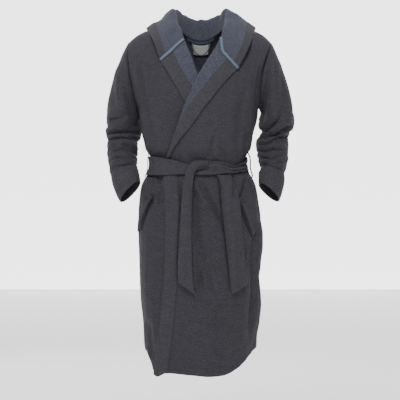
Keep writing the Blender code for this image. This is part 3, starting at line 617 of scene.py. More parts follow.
def front_panel_grid(side):
    low = np.linspace(0, front_levels(BELT_LINE), 104)
    high = np.linspace(front_levels(BELT_LINE), 0.9985, 92)[1:]
    rows = []
    for up in np.concatenate([low, high]):
        line = on_grid(laid_points[FRONT], ACROSS, np.full_like(ACROSS, up))
        if side > 0:
            target = np.where(line[:, 2] < BELT_LINE, fair(LEFT_EDGE, line[:, 2]) + BAND,
                              fair(LEFT_ROLL, line[:, 2]))
        else:
            target = np.where(line[:, 2] < BELT_LINE, RIGHT_EDGE_X - BAND, fair(RIGHT_ROLL, line[:, 2]))
        gap = line[:, 0] - target
        crossing = np.interp(0.0, gap, ACROSS)
        t = np.linspace(0, 1, 118)
        across = crossing + (side * SIDE_EDGE - crossing) * t
        point = on_grid(laid_points[FRONT], across, np.full_like(across, up))
        lift = seam_dip((SIDE_EDGE - np.abs(across)) * 0.05) * (up < ARM_LEVEL)
        if up <= low[-1]:
            lift = lift + seam_dip((across - crossing) * 0.25, 0.0012, 0.003)
        if side < 0:
            lift = lift + under_left(point[:, 0], point[:, 2])
        rows.append(laid(FRONT, across, np.full_like(across, up), lift))
    return np.array(rows)


left_front = cloth_piece("front_cloth_left", front_panel_grid(1), KNIT_THICKNESS, CHARCOAL, MELANGE,
                         body="robe")
right_front = cloth_piece("front_cloth_right", front_panel_grid(-1), KNIT_THICKNESS, CHARCOAL, MELANGE,
                          flip=True, body="robe")
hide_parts("front_panel_left")
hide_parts("front_panel_right")

# ---------------------------------------------------------------------------
# Front bands
# A folded strip of the knit, two layers thick, sewn down each free edge from
# the belt to the hem. The seam shows as a fine groove.
# ---------------------------------------------------------------------------
BAND_THICKNESS = 0.0050
LAPEL_BAND_THICKNESS, HOOD_BAND_THICKNESS, CUFF_THICKNESS = 0.0044, 0.0046, 0.0048


def front_band_grid(side):
    rows = []
    for up in np.linspace(0, front_levels(BELT_LINE - 0.004), 104):
        line = on_grid(laid_points[FRONT], ACROSS, np.full_like(ACROSS, up))
        free = fair(LEFT_EDGE, line[:, 2]) if side > 0 else RIGHT_EDGE_X
        first = np.interp(0.0, line[:, 0] - free, ACROSS)
        second = np.interp(0.0, line[:, 0] - free - side * (BAND - 0.0006), ACROSS)
        across = first + (second - first) * np.linspace(0, 1, 22)
        point = on_grid(laid_points[FRONT], across, np.full_like(across, up))
        lift = seam_dip((second - across) * 0.25, 0.0012, 0.003) + 0.0006
        if side < 0:
            lift = lift + under_left(point[:, 0], point[:, 2])
        rows.append(laid(FRONT, across, np.full_like(across, up), lift))
    return np.array(rows)


for side, name in ((1, "left"), (-1, "right")):
    band = cloth_piece(f"edge_band_{name}", front_band_grid(side), BAND_THICKNESS, BAND_KNIT, flip=side < 0,
                       body="robe")
    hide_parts(f"front_band_{name}")

# ---------------------------------------------------------------------------
# Pockets
# Each hip pocket is a slanted cut in the front with a bag of thin jersey
# behind it, and a doubled facing along the rear edge of its mouth.
# ---------------------------------------------------------------------------
POCKET_GAPE = 0.0080
POCKET_MOUTH = {1: [(0.415, -0.604), (0.460, -0.640), (0.520, -0.682), (0.590, -0.724)],
                -1: [(0.491, -0.579), (0.564, -0.603), (0.651, -0.644), (0.757, -0.702)]}
POCKET_BAG = [  # lift off the cloth, tilt of the flat ring, half gape, how far it has moved in and down
    (0.0016, 0.0, 1.00, 0.0, 0.0), (-0.0060, 0.1, 0.96, 0.0, 0.002), (-0.0120, 0.8, 0.95, 0.015, 0.006),
    (-0.0150, 1.45, 0.95, 0.055, 0.016), (-0.0155, 1.57, 0.9, 0.100, 0.044),
    (-0.0155, 1.57, 0.8, 0.135, 0.072), (-0.0155, 1.57, 0.55, 0.160, 0.098),
]


def pocket_spot(side, q, inward=0.0, down=0.0, lift=0.0):
    """A point beside the mouth: q runs from its top to its bottom end."""
    line = POCKET_MOUTH[side]
    across = np.interp(q, np.linspace(0, 1, len(line)), [p[0] for p in line])
    z = np.interp(q, np.linspace(0, 1, len(line)), [p[1] for p in line])
    across, z = side * (across - inward), z - down
    up = ARM_LEVEL * (z - fair(FRONT_HEM, sideways(across))) / (UNDERARM - fair(FRONT_HEM, sideways(across)))
    return laid(FRONT, across, up, lift)


def mouth_ring(side, lift, tilt, gape, inward=0.0, down=0.0, reach=1.0, count=36):
    """A flattened ring round the pocket's mouth, or round the bag further in."""
    turn = np.linspace(0, 2 * math.pi, count, endpoint=False)
    q = 0.5 + 0.5 * reach * np.sign(np.cos(turn)) * np.abs(np.cos(turn)) ** 0.8
    middle = pocket_spot(side, q, inward, down)
    along = (pocket_spot(side, np.minimum(q + 0.04, 1), inward, down)
             - pocket_spot(side, np.maximum(q - 0.04, 0), inward, down))
    out = pocket_spot(side, q, inward, down, 0.004) - middle
    along /= np.linalg.norm(along, axis=1, keepdims=True)
    out /= np.linalg.norm(out, axis=1, keepdims=True)
    in_way = np.cross(along, out)
    in_way *= -np.sign(in_way[:, :1] * side)
    thin = in_way * math.cos(tilt) + out * math.sin(tilt)
    return middle + out * lift + thin * (np.sin(turn) * gape * POCKET_GAPE)[:, None]


LINING_JERSEY = knit("pocket_jersey", (0.030, 0.030, 0.036), (0.062, 0.062, 0.074), 300, 0.0006, 0.1)
pocket_edges = []
for side, name, front in ((1, "left", left_front), (-1, "right", right_front)):
    rings = [mouth_ring(side, *row) for row in POCKET_BAG]
    bag = cloth_piece(f"pocket_pouch_{name}", np.array(rings), 0.0012, LINING_JERSEY, around=True,
                      flip=side > 0, body="robe")
    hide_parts(f"pocket_bag_{name}")
    q = np.linspace(0.0, 1.0, 40)
    middle = pocket_spot(side, q)
    facing = []
    for step, lift in ((0.0082, 0.0036), (0.0095, 0.0050), (0.0130, 0.0050), (0.0190, 0.0048),
                       (0.0245, 0.0044),
                       (0.0258, 0.0030)):
        shift = pocket_spot(side, q, inward=-0.02) - middle
        shift /= np.linalg.norm(shift, axis=1, keepdims=True)
        raised = pocket_spot(side, q, lift=lift)
        facing.append(raised + shift * step)
    facing = np.array(facing).transpose(1, 0, 2)
    welt = cloth_piece(f"pocket_facing_{name}", facing, 0.0024, BAND_KNIT, flip=side < 0, body="robe")
    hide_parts(f"pocket_welt_{name}")
    pocket_edges.append((facing[3:-3, 1] + facing[3:-3, 2]) / 2 + (facing[3:-3, 1] - middle[3:-3]) * 0.12)
    walls = [mouth_ring(side, lift, 0.0, 0.90, reach=0.97) for lift in (-0.012, -0.004, 0.004, 0.012)]
    walls = np.array(walls)
    points = np.concatenate([walls.reshape(-1, 3), walls[:1].mean(axis=1), walls[-1:].mean(axis=1)])
    count, last = walls.shape[1], walls.shape[0] - 1
    sides = [(r * count + k, r * count + (k + 1) % count, (r + 1) * count + (k + 1) % count,
              (r + 1) * count + k)
             for r in range(last) for k in range(count)]
    ends = [(len(points) - 2, (k + 1) % count, k) for k in range(count)]
    ends += [(len(points) - 1, last * count + k, last * count + (k + 1) % count) for k in range(count)]
    blade_mesh = bpy.data.meshes.new("mouth_cutter")
    blade_mesh.from_pydata(points.tolist(), [], sides + ends)
    shape = bmesh.new()
    shape.from_mesh(blade_mesh)
    bmesh.ops.recalc_face_normals(shape, faces=shape.faces)
    shape.to_mesh(blade_mesh)
    shape.free()
    blade = bpy.data.objects.new("mouth_cutter", blade_mesh)
    bpy.context.scene.collection.objects.link(blade)
    cut = front.modifiers.new("mouth", "BOOLEAN")
    cut.operation, cut.solver, cut.object = "DIFFERENCE", "EXACT", blade
    made = bpy.data.meshes.new_from_object(front.evaluated_get(bpy.context.evaluated_depsgraph_get()))
    front.modifiers.clear()
    front.data = made
    bpy.data.objects.remove(blade)

# ---------------------------------------------------------------------------
# Lapels
# Above the belt each front turns out along its fold, so that the looped inner
# face shows, and the doubled band follows its outer edge.
# ---------------------------------------------------------------------------
LEFT_OUTER = [(-0.4502, -0.1105), (-0.4264, -0.0986), (-0.389, -0.0748), (-0.3414, -0.0374),
              (-0.2938, -0.0034),
              (-0.2326, 0.0442), (-0.1748, 0.0918), (-0.1374, 0.1292), (-0.0762, 0.1666), (-0.0354, 0.1938)]
LEFT_BAND_IN = [(-0.3176, -0.0714), (-0.302, -0.061), (-0.2496, -0.022), (-0.204, 0.011), (-0.1816, 0.029),
                (-0.1374, 0.066), (-0.1102, 0.092), (-0.066, 0.124), (-0.0048, 0.160)]
RIGHT_OUTER = [(-0.4000, 0.030), (-0.330, -0.010), (-0.2598, -0.0544), (-0.2258, -0.0714), (-0.1748, -0.102),
               (-0.1102, -0.1394), (-0.0592, -0.1564), (-0.0252, -0.1768)]
RIGHT_BAND_IN = [(-0.3600, 0.050), (-0.300, 0.022), (-0.2450, -0.012), (-0.2088, -0.0306), (-0.1816, -0.0476),
                 (-0.1374, -0.0714), (-0.0864, -0.0986), (-0.0558, -0.119), (-0.0014, -0.1428)]
LAPEL_TOP = {1: [(0, -0.038), (0.19, -0.075), (0.45, -0.1015), (0.75, -0.125), (1, -0.143)],
             -1: [(0, -0.044), (0.5, -0.079), (1, -0.115)]}
LAPEL_FOOT = {1: -0.4500, -1: -0.400}
ROLL = {1: LEFT_ROLL, -1: RIGHT_ROLL}
OUTER = {1: LEFT_OUTER, -1: RIGHT_OUTER}
BAND_IN = {1: LEFT_BAND_IN, -1: RIGHT_BAND_IN}
LINING_ENDS = {1: -0.314, -1: -0.352}


def lapel_place(side, t, rise):
    """(x, z) on a lapel: t goes from its fold to its outer edge, rise from the belt to the hood."""
    z = LAPEL_FOOT[side] + (fair(LAPEL_TOP[side], t) - LAPEL_FOOT[side]) * rise
    return fair(ROLL[side], z) + (fair(OUTER[side], z) - fair(ROLL[side], z)) * t, z


def lapel_seam(side, rise):
    """t at which the band begins."""
    t = np.full(np.shape(rise), 0.5)
    for _ in range(30):
        x, z = lapel_place(side, t, rise)
        goal = (fair(BAND_IN[side], z) - fair(ROLL[side], z)) / (fair(OUTER[side], z) - fair(ROLL[side], z))
        t = t + 0.5 * (np.clip(np.where(z < LINING_ENDS[side], 0.0, goal), 0.0, 0.92) - t)
    return t


def lapel_grid(side, t, rise, fold):
    """Rows of a lapel. fold is the radius of the turn at its first column, one for each row."""
    x, z = lapel_place(side, t, rise[:, None])
    foot = smooth((z - LAPEL_FOOT[side]) / 0.03)
    lift = 0.0034 + (LAYER + 0.0004 - 0.0034) * foot
    lift = lift + 0.0016 * np.sin(math.pi * np.clip(t, 0, 1)) * foot
    if side < 0:
        lift = lift + under_left(x, z)
    flat = on_front(x, z, lift)
    turn = np.linspace(math.pi, 0, 7)[:-1]
    first = flat[:, :1]
    into = first - flat[:, 1:2]
    into /= np.maximum(np.linalg.norm(into, axis=2, keepdims=True), 1e-9)
    down = on_front(x[:, 0], z[:, 0], lift[:, 0] - 0.003)[:, None] - first
    down /= np.linalg.norm(down, axis=2, keepdims=True)
    r = fold[:, None, None]
    arc = first + into * r * np.sin(turn)[None, :, None] + down * r * (1 - np.cos(turn))[None, :, None]
    return np.concatenate([arc, flat], axis=1)


seam_shares = {}
for side, name in ((1, "left"), (-1, "right")):
    rise = np.linspace(0, 0.992, 150)
    seam = lapel_seam(side, rise)
    seam_shares[side] = float(lapel_seam(side, np.array([1.0]))[0])
    inside = seam > 0.012
    rows = rise[inside]
    lining = lapel_grid(side, seam[inside][:, None] * np.linspace(0, 1, 40) ** 0.9 * 0.994, rows,
                        np.full(len(rows), LAYER / 2))
    cloth = cloth_piece(f"lapel_cloth_{name}", lining, KNIT_THICKNESS, MELANGE, CHARCOAL, flip=side < 0,
                        body="robe")
    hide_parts(f"lapel_{name}")
    0.0130 if side > 0 else 0.0110
    fold = 0.0012 + (LAYER / 2 - 0.0012) * smooth((0.05 - seam) / 0.05)
    edge = seam[:, None] + (1 - seam[:, None]) * np.linspace(0.004, 1, 26)
    band = cloth_piece(f"lapel_edge_{name}", lapel_grid(side, edge, rise, fold), LAPEL_BAND_THICKNESS,
                       BAND_KNIT, flip=side < 0, body="robe")
    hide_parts(f"lapel_band_{name}")

# ---------------------------------------------------------------------------
# Hood
# Sewn round the neck between the lapels and worn thrown back: the looped inner
# face shows round the neck, and the charcoal face on the pouch behind. A
# doubled band goes round its rim and runs on into the lapels' bands.
# ---------------------------------------------------------------------------
HOOD_LEVELS = [0.0, 0.16, 0.42, 0.66, 0.84, 1.0]
HOOD = {
    0.00: [(0, 0.0688, -0.0280), (0, 0.086, 0.046), (0, 0.130, -0.060), (0, 0.160, -0.205), (0, 0.203, -0.120),
           (0, 0.186, -0.006)],
    0.22: [(0.046, 0.0572, -0.0140), (0.054, 0.074, 0.060), (0.080, 0.120, -0.022), (0.105, 0.148, -0.140),
           (0.126, 0.172, -0.080), (0.112, 0.160, 0.006)],
    0.45: [(0.0735, 0.0285, 0.0030), (0.080, 0.036, 0.068), (0.112, 0.066, 0.056), (0.148, 0.100, -0.026),
           (0.174, 0.110, -0.024), (0.174, 0.096, 0.002)],
    0.72: [(0.078, -0.014, 0.006), (0.090, -0.010, 0.052), (0.116, -0.004, 0.050), (0.144, 0.002, 0.036),
           (0.167, 0.002, 0.022), (0.188, -0.004, 0.003)],
}
HOOD_ON_CHEST = {
    1: [(0.076, -0.010), (0.088, -0.014), (0.108, -0.027), (0.130, -0.045), (0.147, -0.058), (0.164, -0.072)],
    -1: [(0.070, -0.010), (0.084, -0.014), (0.106, -0.026), (0.126, -0.040), (0.143, -0.048), (0.160, -0.057)],
}
HOOD_BAND_AT = 0.79
hood_lines = {}
for side in (1, -1):
    tape_t = np.array(HOOD_LEVELS)
    seam_x, seam_z = lapel_place(side, tape_t, np.ones(6))
    chest = on_front([side * p[0] for p in HOOD_ON_CHEST[side]], [p[1] for p in HOOD_ON_CHEST[side]], 0.017)
    tape = on_front(seam_x, seam_z, LAYER + 0.0030 + (under_left(seam_x, seam_z) if side < 0 else 0))
    chest[:, 0], tape[:, 0] = np.abs(chest[:, 0]), np.abs(tape[:, 0])
    hood_lines[side] = (chest, tape)


def hood_point(s, t):
    """s from -1 at the right lapel round behind the neck to 1, and t from the neck seam to the rim."""
    s, t = np.broadcast_arrays(np.asarray(s, float), np.asarray(t, float))
    knots = np.zeros((6, 3) + s.shape)
    for side in (1, -1):
        chosen = (s >= 0) if side > 0 else (s < 0)
        for k in range(6):
            x, y, z = HOOD[0.22][k]
            rows = [(-0.22, (-x, y, z))] + [(place, HOOD[place][k]) for place in sorted(HOOD)]
            rows += [(0.87, hood_lines[side][0][k]), (1.0, hood_lines[side][1][k])]
            for i in range(3):
                value = fair([(place, row[i]) for place, row in rows], np.abs(s))
                knots[k, i] = np.where(chosen, value, knots[k, i])
    levels = np.array(HOOD_LEVELS)
    k = np.clip(np.searchsorted(levels, t, side="right") - 1, 0, 4)
    slopes = np.gradient(knots, levels, axis=0)
    u = (t - levels[k]) / (levels[k + 1] - levels[k])
    step = levels[k + 1] - levels[k]
    out = []
    for i in range(3):
        value = knots[:, i]
        v0, v1 = (np.take_along_axis(value, (k + d)[None], axis=0)[0] for d in (0, 1))
        m0, m1 = (np.take_along_axis(slopes[:, i], (k + d)[None], axis=0)[0] for d in (0, 1))
        out.append(v0 * (1 + 2 * u) * (1 - u) ** 2 + v1 * u * u * (3 - 2 * u)
                   + step * (m0 * u * (1 - u) ** 2 + m1 * u * u * (u - 1)))
    x = np.where(s < 0, -out[0], out[0])
    return np.stack([x, out[1], out[2]], axis=-1)


HOOD_ROWS = 121
hood_s, hood_t = np.meshgrid(np.linspace(-1, 1, 281), np.linspace(0, 1, HOOD_ROWS))
hood_grid = hood_point(hood_s, hood_t)
hood_out = grid_normals(hood_grid)
fullness = np.sin(math.pi * np.clip(hood_t / 0.8, 0, 1)) ** 0.7
ruck = (0.0040 * np.sin(hood_s * 16.5 + 2.2 * hood_t + 0.6) * smooth((np.abs(hood_s) - 0.10) / 0.2)
        + 0.0026 * np.sin(hood_s * 29.0 - 3.1 * hood_t + 1.9) + 0.0012 * np.sin(hood_s * 53 + 6 * hood_t))
ruck = ruck * fullness * (1 - smooth((np.abs(hood_s) - 0.84) / 0.12))
sag = 0.0035 * np.sin(hood_t * 19 + 1.0) * smooth((0.34 - np.abs(hood_s)) / 0.2)
sag = sag * smooth((hood_t - 0.30) / 0.1) * smooth((0.9 - hood_t) / 0.1)
centre_seam = seam_dip(hood_s * 0.2, 0.0014, 0.0035) * smooth((0.36 - np.abs(hood_s)) / 0.1)
hood_grid = hood_grid + hood_out * (ruck + sag)[..., None] - hood_out * centre_seam[..., None]
hood_out = grid_normals(hood_grid)
cut_row = int(round(HOOD_BAND_AT * (HOOD_ROWS - 1)))
hood_rows = hood_grid[:cut_row + 1].copy()
hood_rows[-1] += 0.5 * (hood_rows[-2] - hood_rows[-1])  # its edge just meets the band's
hood_cloth = cloth_piece("hood_cloth", hood_rows, KNIT_THICKNESS, MELANGE, CHARCOAL)
hood_band = cloth_piece("hood_edge_band", hood_grid[cut_row:], HOOD_BAND_THICKNESS, BAND_KNIT)
for piece, nodes, slot in ((hood_cloth, ("hood_pouch", "hood_wing_left", "hood_wing_right"), "lining_melange"),
                           (hood_band, ("hood_band_pouch", "hood_band_left", "hood_band_right"),
                            "charcoal_knit")):
    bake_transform(piece)
    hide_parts(*nodes)

# ---------------------------------------------------------------------------
# Neck tapes
# A narrow woven tape covers each end of the hood's seam, from the neck to the
# outer edge of the band, and goes on round the inside of the neck.
# ---------------------------------------------------------------------------


def tape_weave(name, dark, light):
    made = bpy.data.materials.new(name)
    made.use_nodes = True
    tree = made.node_tree
    shader = tree.nodes["Principled BSDF"]
    cloth = Socket(tree, tree.nodes.new("ShaderNodeUVMap").outputs[0])
    bed = cloth.node("ShaderNodeMapping", None, {"Vector": cloth, "Scale": (1500, 1500, 1)})
    ribs = cloth.node("ShaderNodeTexWave", {"wave_type": "BANDS", "bands_direction": "DIAGONAL"},
                      {"Vector": bed, "Scale": 0.35, "Distortion": 0.6}, output=1)
    wear = noise(cloth, cloth, 260, 2.0)
    tree.links.new(tint(cloth, ribs * 0.35 + wear * 0.65, dark, light).out, shader.inputs["Base Color"])
    tree.links.new((wear * 0.2 + 0.62).out, shader.inputs["Roughness"])
    tree.links.new(cloth.node("ShaderNodeBump", None,
                              {"Height": ribs, "Strength": 0.4, "Distance": 0.0003}).out,
                   shader.inputs["Normal"])
    shader.inputs["Sheen Weight"].default_value = 0.15
    return made


TAPE = tape_weave("teal_tape_weave", (0.050, 0.078, 0.108), (0.120, 0.165, 0.215))
t = np.linspace(0.0, 1.0, 70)
for side, name in ((1, "left"), (-1, "right")):
    x, z = lapel_place(side, t, np.ones(70))
    under = under_left(x, z) if side < 0 else 0
    middle = on_front(x, z, LAYER + 0.0068 + under + 0.0012 * np.sin(t * math.pi))
    run = np.gradient(middle, axis=0)
    run /= np.linalg.norm(run, axis=1, keepdims=True)
    out = on_front(x, z, LAYER + 0.010 + under) - on_front(x, z, LAYER + under)
    out /= np.linalg.norm(out, axis=1, keepdims=True)
    wide = np.cross(run, out)
    grid = middle[:, None] + wide[:, None] * (np.linspace(-0.0046, 0.0046, 7))[None, :, None]
    grid = grid - out[:, None] * (0.0010 * (np.linspace(-1, 1, 7) ** 2))[None, :, None]
    tape = cloth_piece(f"seam_tape_{name}", grid, 0.0010, TAPE, flip=side > 0, body="robe")
    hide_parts(f"neck_tape_{name}")


INNER_HALF_WIDTH = 0.222
INSIDE = -0.0052  # what is sewn to the inner face of the back lies this far behind the middle of the cloth


def inside_back(x, below, out=0.0):
    """A point on the inside of the back, a distance below the neck seam."""
    across = (np.sign(x) * np.arcsin(np.minimum(np.abs(x) / INNER_HALF_WIDTH, 1) ** (ROUNDNESS / 2))
              * 2 / math.pi)
    even = np.linspace(-SIDE_EDGE, SIDE_EDGE, 200)
    neck_level = np.interp(ACROSS, even, np.interp(even, back_across, top_level))
    near = np.linspace(-0.05, 0.05, 11)
    top = np.interp(x, near, np.interp(near, sideways(ACROSS) * INNER_HALF_WIDTH, neck_level))
    edge = laid(BACK, across, top)
    drop = laid(BACK, across, top - 0.02)
    step = np.linalg.norm(edge - drop, axis=-1)
    return laid(BACK, across, top - 0.02 * np.asarray(below) / step, out)


x = np.linspace(-0.042, 0.042, 25)
grid = np.array([inside_back(x, b, INSIDE) for b in np.linspace(0.005, 0.015, 6)])
tape = cloth_piece("seam_tape_back", grid, 0.0010, TAPE, body="robe")
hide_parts("neck_tape_back")

# ---------------------------------------------------------------------------
# Hanging loop and labels
# A round cord sewn under the back of the neck, a blank woven size label below
# it, and a blank care label in the left side seam.
# ---------------------------------------------------------------------------
LABEL_CLOTH = tape_weave("label_satin", (0.50, 0.50, 0.48), (0.66, 0.66, 0.64))
x = np.linspace(-0.024, 0.024, 21)
grid = np.array([inside_back(x, b, INSIDE - 0.0010 * math.sin(b * 60)) for b in np.linspace(0.019, 0.053, 16)])
label = cloth_piece("size_label", grid, 0.0008, LABEL_CLOTH, body="robe")
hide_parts("neck_label")
lo, hi = (np.array(v, float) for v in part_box("care_label"))
t = np.linspace(0, 1, 18)[:, None]
y = np.linspace(-0.018, 0.018, 13)[None]
care_x = hi[0] - 0.0006 - (hi[0] - lo[0] - 0.0012) * t + 0.0010 * np.sin(t * 5) + 0 * y
care_z = hi[2] - 0.0008 - (hi[2] - lo[2] - 0.0016) * t + 0 * y
care = cloth_piece("washing_label", np.stack([care_x, y + 0 * t, care_z], axis=-1), 0.0006, LABEL_CLOTH,
                   body="robe")
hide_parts("care_label")


def round_cord(name, points, radius, paint, body, sides=10):
    """A closed round cord along points, with domed ends."""
    points = np.asarray(points, float)
    run = np.gradient(points, axis=0)
    run /= np.linalg.norm(run, axis=1, keepdims=True)
    first = np.cross(run[0], [0.31, 0.87, 0.38])
    rings, frame_way = [], first / np.linalg.norm(first)
    for p, d in zip(points, run):
        frame_way = frame_way - d * frame_way.dot(d)
        frame_way /= np.linalg.norm(frame_way)
        other = np.cross(d, frame_way)
        turn = np.linspace(0, 2 * math.pi, sides, endpoint=False)
        rings.append(p + radius * (np.cos(turn)[:, None] * frame_way + np.sin(turn)[:, None] * other))
    rings = np.array(rings)
    tips = np.array([points[0] - run[0] * radius * 0.6, points[-1] + run[-1] * radius * 0.6])
    count, last = sides, len(points) - 1
    faces = [(r * count + k, r * count + (k + 1) % count, (r + 1) * count + (k + 1) % count,
              (r + 1) * count + k)
             for r in range(last) for k in range(count)]
    end = len(rings) * count
    faces += [(end, (k + 1) % count, k) for k in range(count)]
    faces += [(end + 1, last * count + k, last * count + (k + 1) % count) for k in range(count)]
    mesh = bpy.data.meshes.new(name)
    mesh.from_pydata(np.concatenate([rings.reshape(-1, 3), tips]).tolist(), [], faces)
    mesh.polygons.foreach_set("use_smooth", [True] * len(faces))
    mesh.materials.append(paint)
    layer = mesh.uv_layers.new(name="cloth")
    length = np.concatenate([[0], np.cumsum(np.linalg.norm(np.diff(points, axis=0), axis=1))])
    corner = np.empty(len(mesh.loops), np.int32)
    mesh.loops.foreach_get("vertex_index", corner)
    ring_of = np.clip(corner // count, 0, last)
    flat = np.stack([(corner % count) / count * radius * 6.3, length[ring_of]], axis=1)
    layer.data.foreach_set("uv", flat.reshape(-1).astype(np.float32))
    made = bpy.data.objects.new(name, mesh)
    bpy.context.scene.collection.objects.link(made)
    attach(made, body)
    return made


lo, hi = (np.array(v, float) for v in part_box("hang_loop"))
turn = np.linspace(0, math.pi, 41)
cord_r = 0.0022
loop_points = np.stack([(lo[0] + hi[0]) / 2 + (hi[0] - lo[0] - 2 * cord_r) / 2 * np.cos(turn),
                        hi[1] - cord_r - (hi[1] - lo[1] - 2 * cord_r) * np.sin(turn),
                        hi[2] - cord_r * 0.4 - (hi[2] - lo[2] - 1.4 * cord_r) * np.sin(turn)], axis=1)
loop = round_cord("hanging_cord", loop_points, cord_r, TAPE, "loop")
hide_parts("hang_loop")

# ---------------------------------------------------------------------------
# Sleeves
# Long set-in sleeves of the same knit, roomy at the top, bent at the elbow and
# pushed into deep folds there, with a doubled cuff sewn on at the wrist.
# ---------------------------------------------------------------------------
ARM = {  # share of the way, half-way x, y and z of the section, half width, half depth
    1: [(0.30, 0.266, 0.035, -0.285, 0.0565, 0.066), (0.38, 0.267, 0.050, -0.315, 0.0625, 0.065),
        (0.44, 0.264, 0.060, -0.335, 0.0575, 0.063), (0.50, 0.2625, 0.064, -0.358, 0.0465, 0.060),
        (0.56, 0.259, 0.060, -0.383, 0.0525, 0.058), (0.62, 0.2505, 0.050, -0.404, 0.0535, 0.056),
        (0.68, 0.2535, 0.037, -0.425, 0.0530, 0.053), (0.74, 0.2535, 0.024, -0.446, 0.0515, 0.050),
        (0.80, 0.2545, 0.010, -0.467, 0.0465, 0.048), (0.86, 0.2510, -0.004, -0.488, 0.0405, 0.046),
        (0.92, 0.2460, -0.018, -0.515, 0.0435, 0.044), (0.96, 0.2420, -0.027, -0.538, 0.0400, 0.042),
        (1.00, 0.2360, -0.038, -0.565, 0.0350, 0.040)],
    -1: [(0.30, 0.272, 0.035, -0.285, 0.060, 0.066), (0.38, 0.2775, 0.050, -0.315, 0.056, 0.065),
         (0.44, 0.273, 0.060, -0.335, 0.059, 0.063), (0.49, 0.2755, 0.064, -0.355, 0.0645, 0.060),
         (0.53, 0.280, 0.063, -0.369, 0.0560, 0.059), (0.57, 0.281, 0.060, -0.383, 0.0485, 0.058),
         (0.63, 0.2775, 0.050, -0.404, 0.0515, 0.056), (0.69, 0.2775, 0.037, -0.425, 0.0515, 0.053),
         (0.75, 0.2757, 0.024, -0.446, 0.0500, 0.050), (0.81, 0.274, 0.010, -0.467, 0.0480, 0.048),
         (0.87, 0.2705, -0.004, -0.488, 0.0465, 0.046), (0.92, 0.264, -0.018, -0.512, 0.0450, 0.044),
         (0.96, 0.256, -0.027, -0.537, 0.0410, 0.042), (1.00, 0.246, -0.038, -0.563, 0.0360, 0.040)],
}
SLEEVE_HEAD, SLEEVE_SPLIT, CUFF_START = 0.30, 0.50, 0.885
SLEEVE_FOLD_GAIN, SLEEVE_FOLD_LIMIT = 2.0, 0.0125
EASING_PASSES, LEAST_ROOM = 80, 0.30  # rings closer than this share of their usual distance are eased apart
SEAM_SLOPE = math.radians(16)
SLEEVE_FOLDS = {
    1: [(0.0085, 0.0075, 1, [(0.330, -0.322), (0.289, -0.3448), (0.255, -0.3652), (0.212, -0.377),
                             (0.19, -0.379)]),
        (0.0065, 0.0062, 1, [(0.318, -0.362), (0.2686, -0.3754), (0.2414, -0.3924), (0.196, -0.407)]),
        (0.0060, 0.0060, -1, [(0.1850, -0.4094), (0.221, -0.425), (0.255, -0.4148), (0.305, -0.4210)]),
        (0.0048, 0.0058, 1, [(0.2000, -0.4434), (0.2414, -0.4512), (0.2950, -0.4332)]),
        (0.0042, 0.0055, 1, [(0.2050, -0.474), (0.2482, -0.4682), (0.2950, -0.457)]),
        (0.0060, 0.0080, -1, [(0.2000, -0.3604), (0.2346, -0.3482), (0.2622, -0.315), (0.292, -0.272)]),
        (0.0085, 0.0150, -1, [(0.2300, -0.0950), (0.2210, -0.180), (0.2180, -0.260), (0.216, -0.34)]),
        (0.0030, 0.0060, 1, [(0.2100, -0.4930), (0.2450, -0.4890), (0.285, -0.4810)]),
        (0.0035, 0.0120, 1, [(0.2700, -0.1200), (0.2800, -0.2000), (0.290, -0.270)])],
    -1: [(0.0095, 0.0075, 1, [(-0.345, -0.364), (-0.2924, -0.3533), (-0.2482, -0.355), (-0.2000, -0.3672)]),
         (0.0060, 0.0060, 1, [(-0.335, -0.382), (-0.2822, -0.375), (-0.2414, -0.3808), (-0.22, -0.388)]),
         (0.0060, 0.0070, -1, [(-0.282, -0.392), (-0.2448, -0.4162), (-0.215, -0.443)]),
         (0.0048, 0.0080, -1, [(-0.3262, -0.3104), (-0.2822, -0.3006), (-0.250, -0.2918)]),
         (0.0045, 0.0060, 1, [(-0.3126, -0.425), (-0.2686, -0.4148), (-0.2350, -0.4318)]),
         (0.0042, 0.0058, 1, [(-0.3126, -0.4862), (-0.2754, -0.4702), (-0.2350, -0.4794)]),
         (0.0090, 0.0150, 1, [(-0.2700, -0.095), (-0.268, -0.168), (-0.253, -0.236), (-0.2320, -0.304),
                              (-0.222, -0.335)]),
         (0.0030, 0.0060, 1, [(-0.3100, -0.4500), (-0.2750, -0.4440), (-0.2400, -0.4520)]),
         (0.0035, 0.0120, 1, [(-0.2950, -0.1500), (-0.3000, -0.2200), (-0.295, -0.280)])],
}
RINGS = np.concatenate([np.linspace(0, 0.05, 12)[:-1], np.linspace(0.05, 0.30, 34)[:-1],
                        np.linspace(0.30, 1.0, 116)])
TURN = np.linspace(0, 2 * math.pi, 84, endpoint=False)


def armhole(side):
    """The seam round the armhole: from the shoulder tip down the front to the underarm and up the back."""
    share = TURN / math.pi
    front = laid(FRONT, np.full_like(TURN, side * 1.0), 1 - 1e-6 + (ARM_LEVEL - 1) * np.clip(share, 0, 1))
    back = laid(BACK, np.full_like(TURN, side * 1.0), 1 - 1e-6 + (ARM_LEVEL - 1) * np.clip(2 - share, 0, 1))
    ring = np.where((share <= 1)[:, None], front, back)
    return ring + np.array([side * 0.0022, 0, 0])


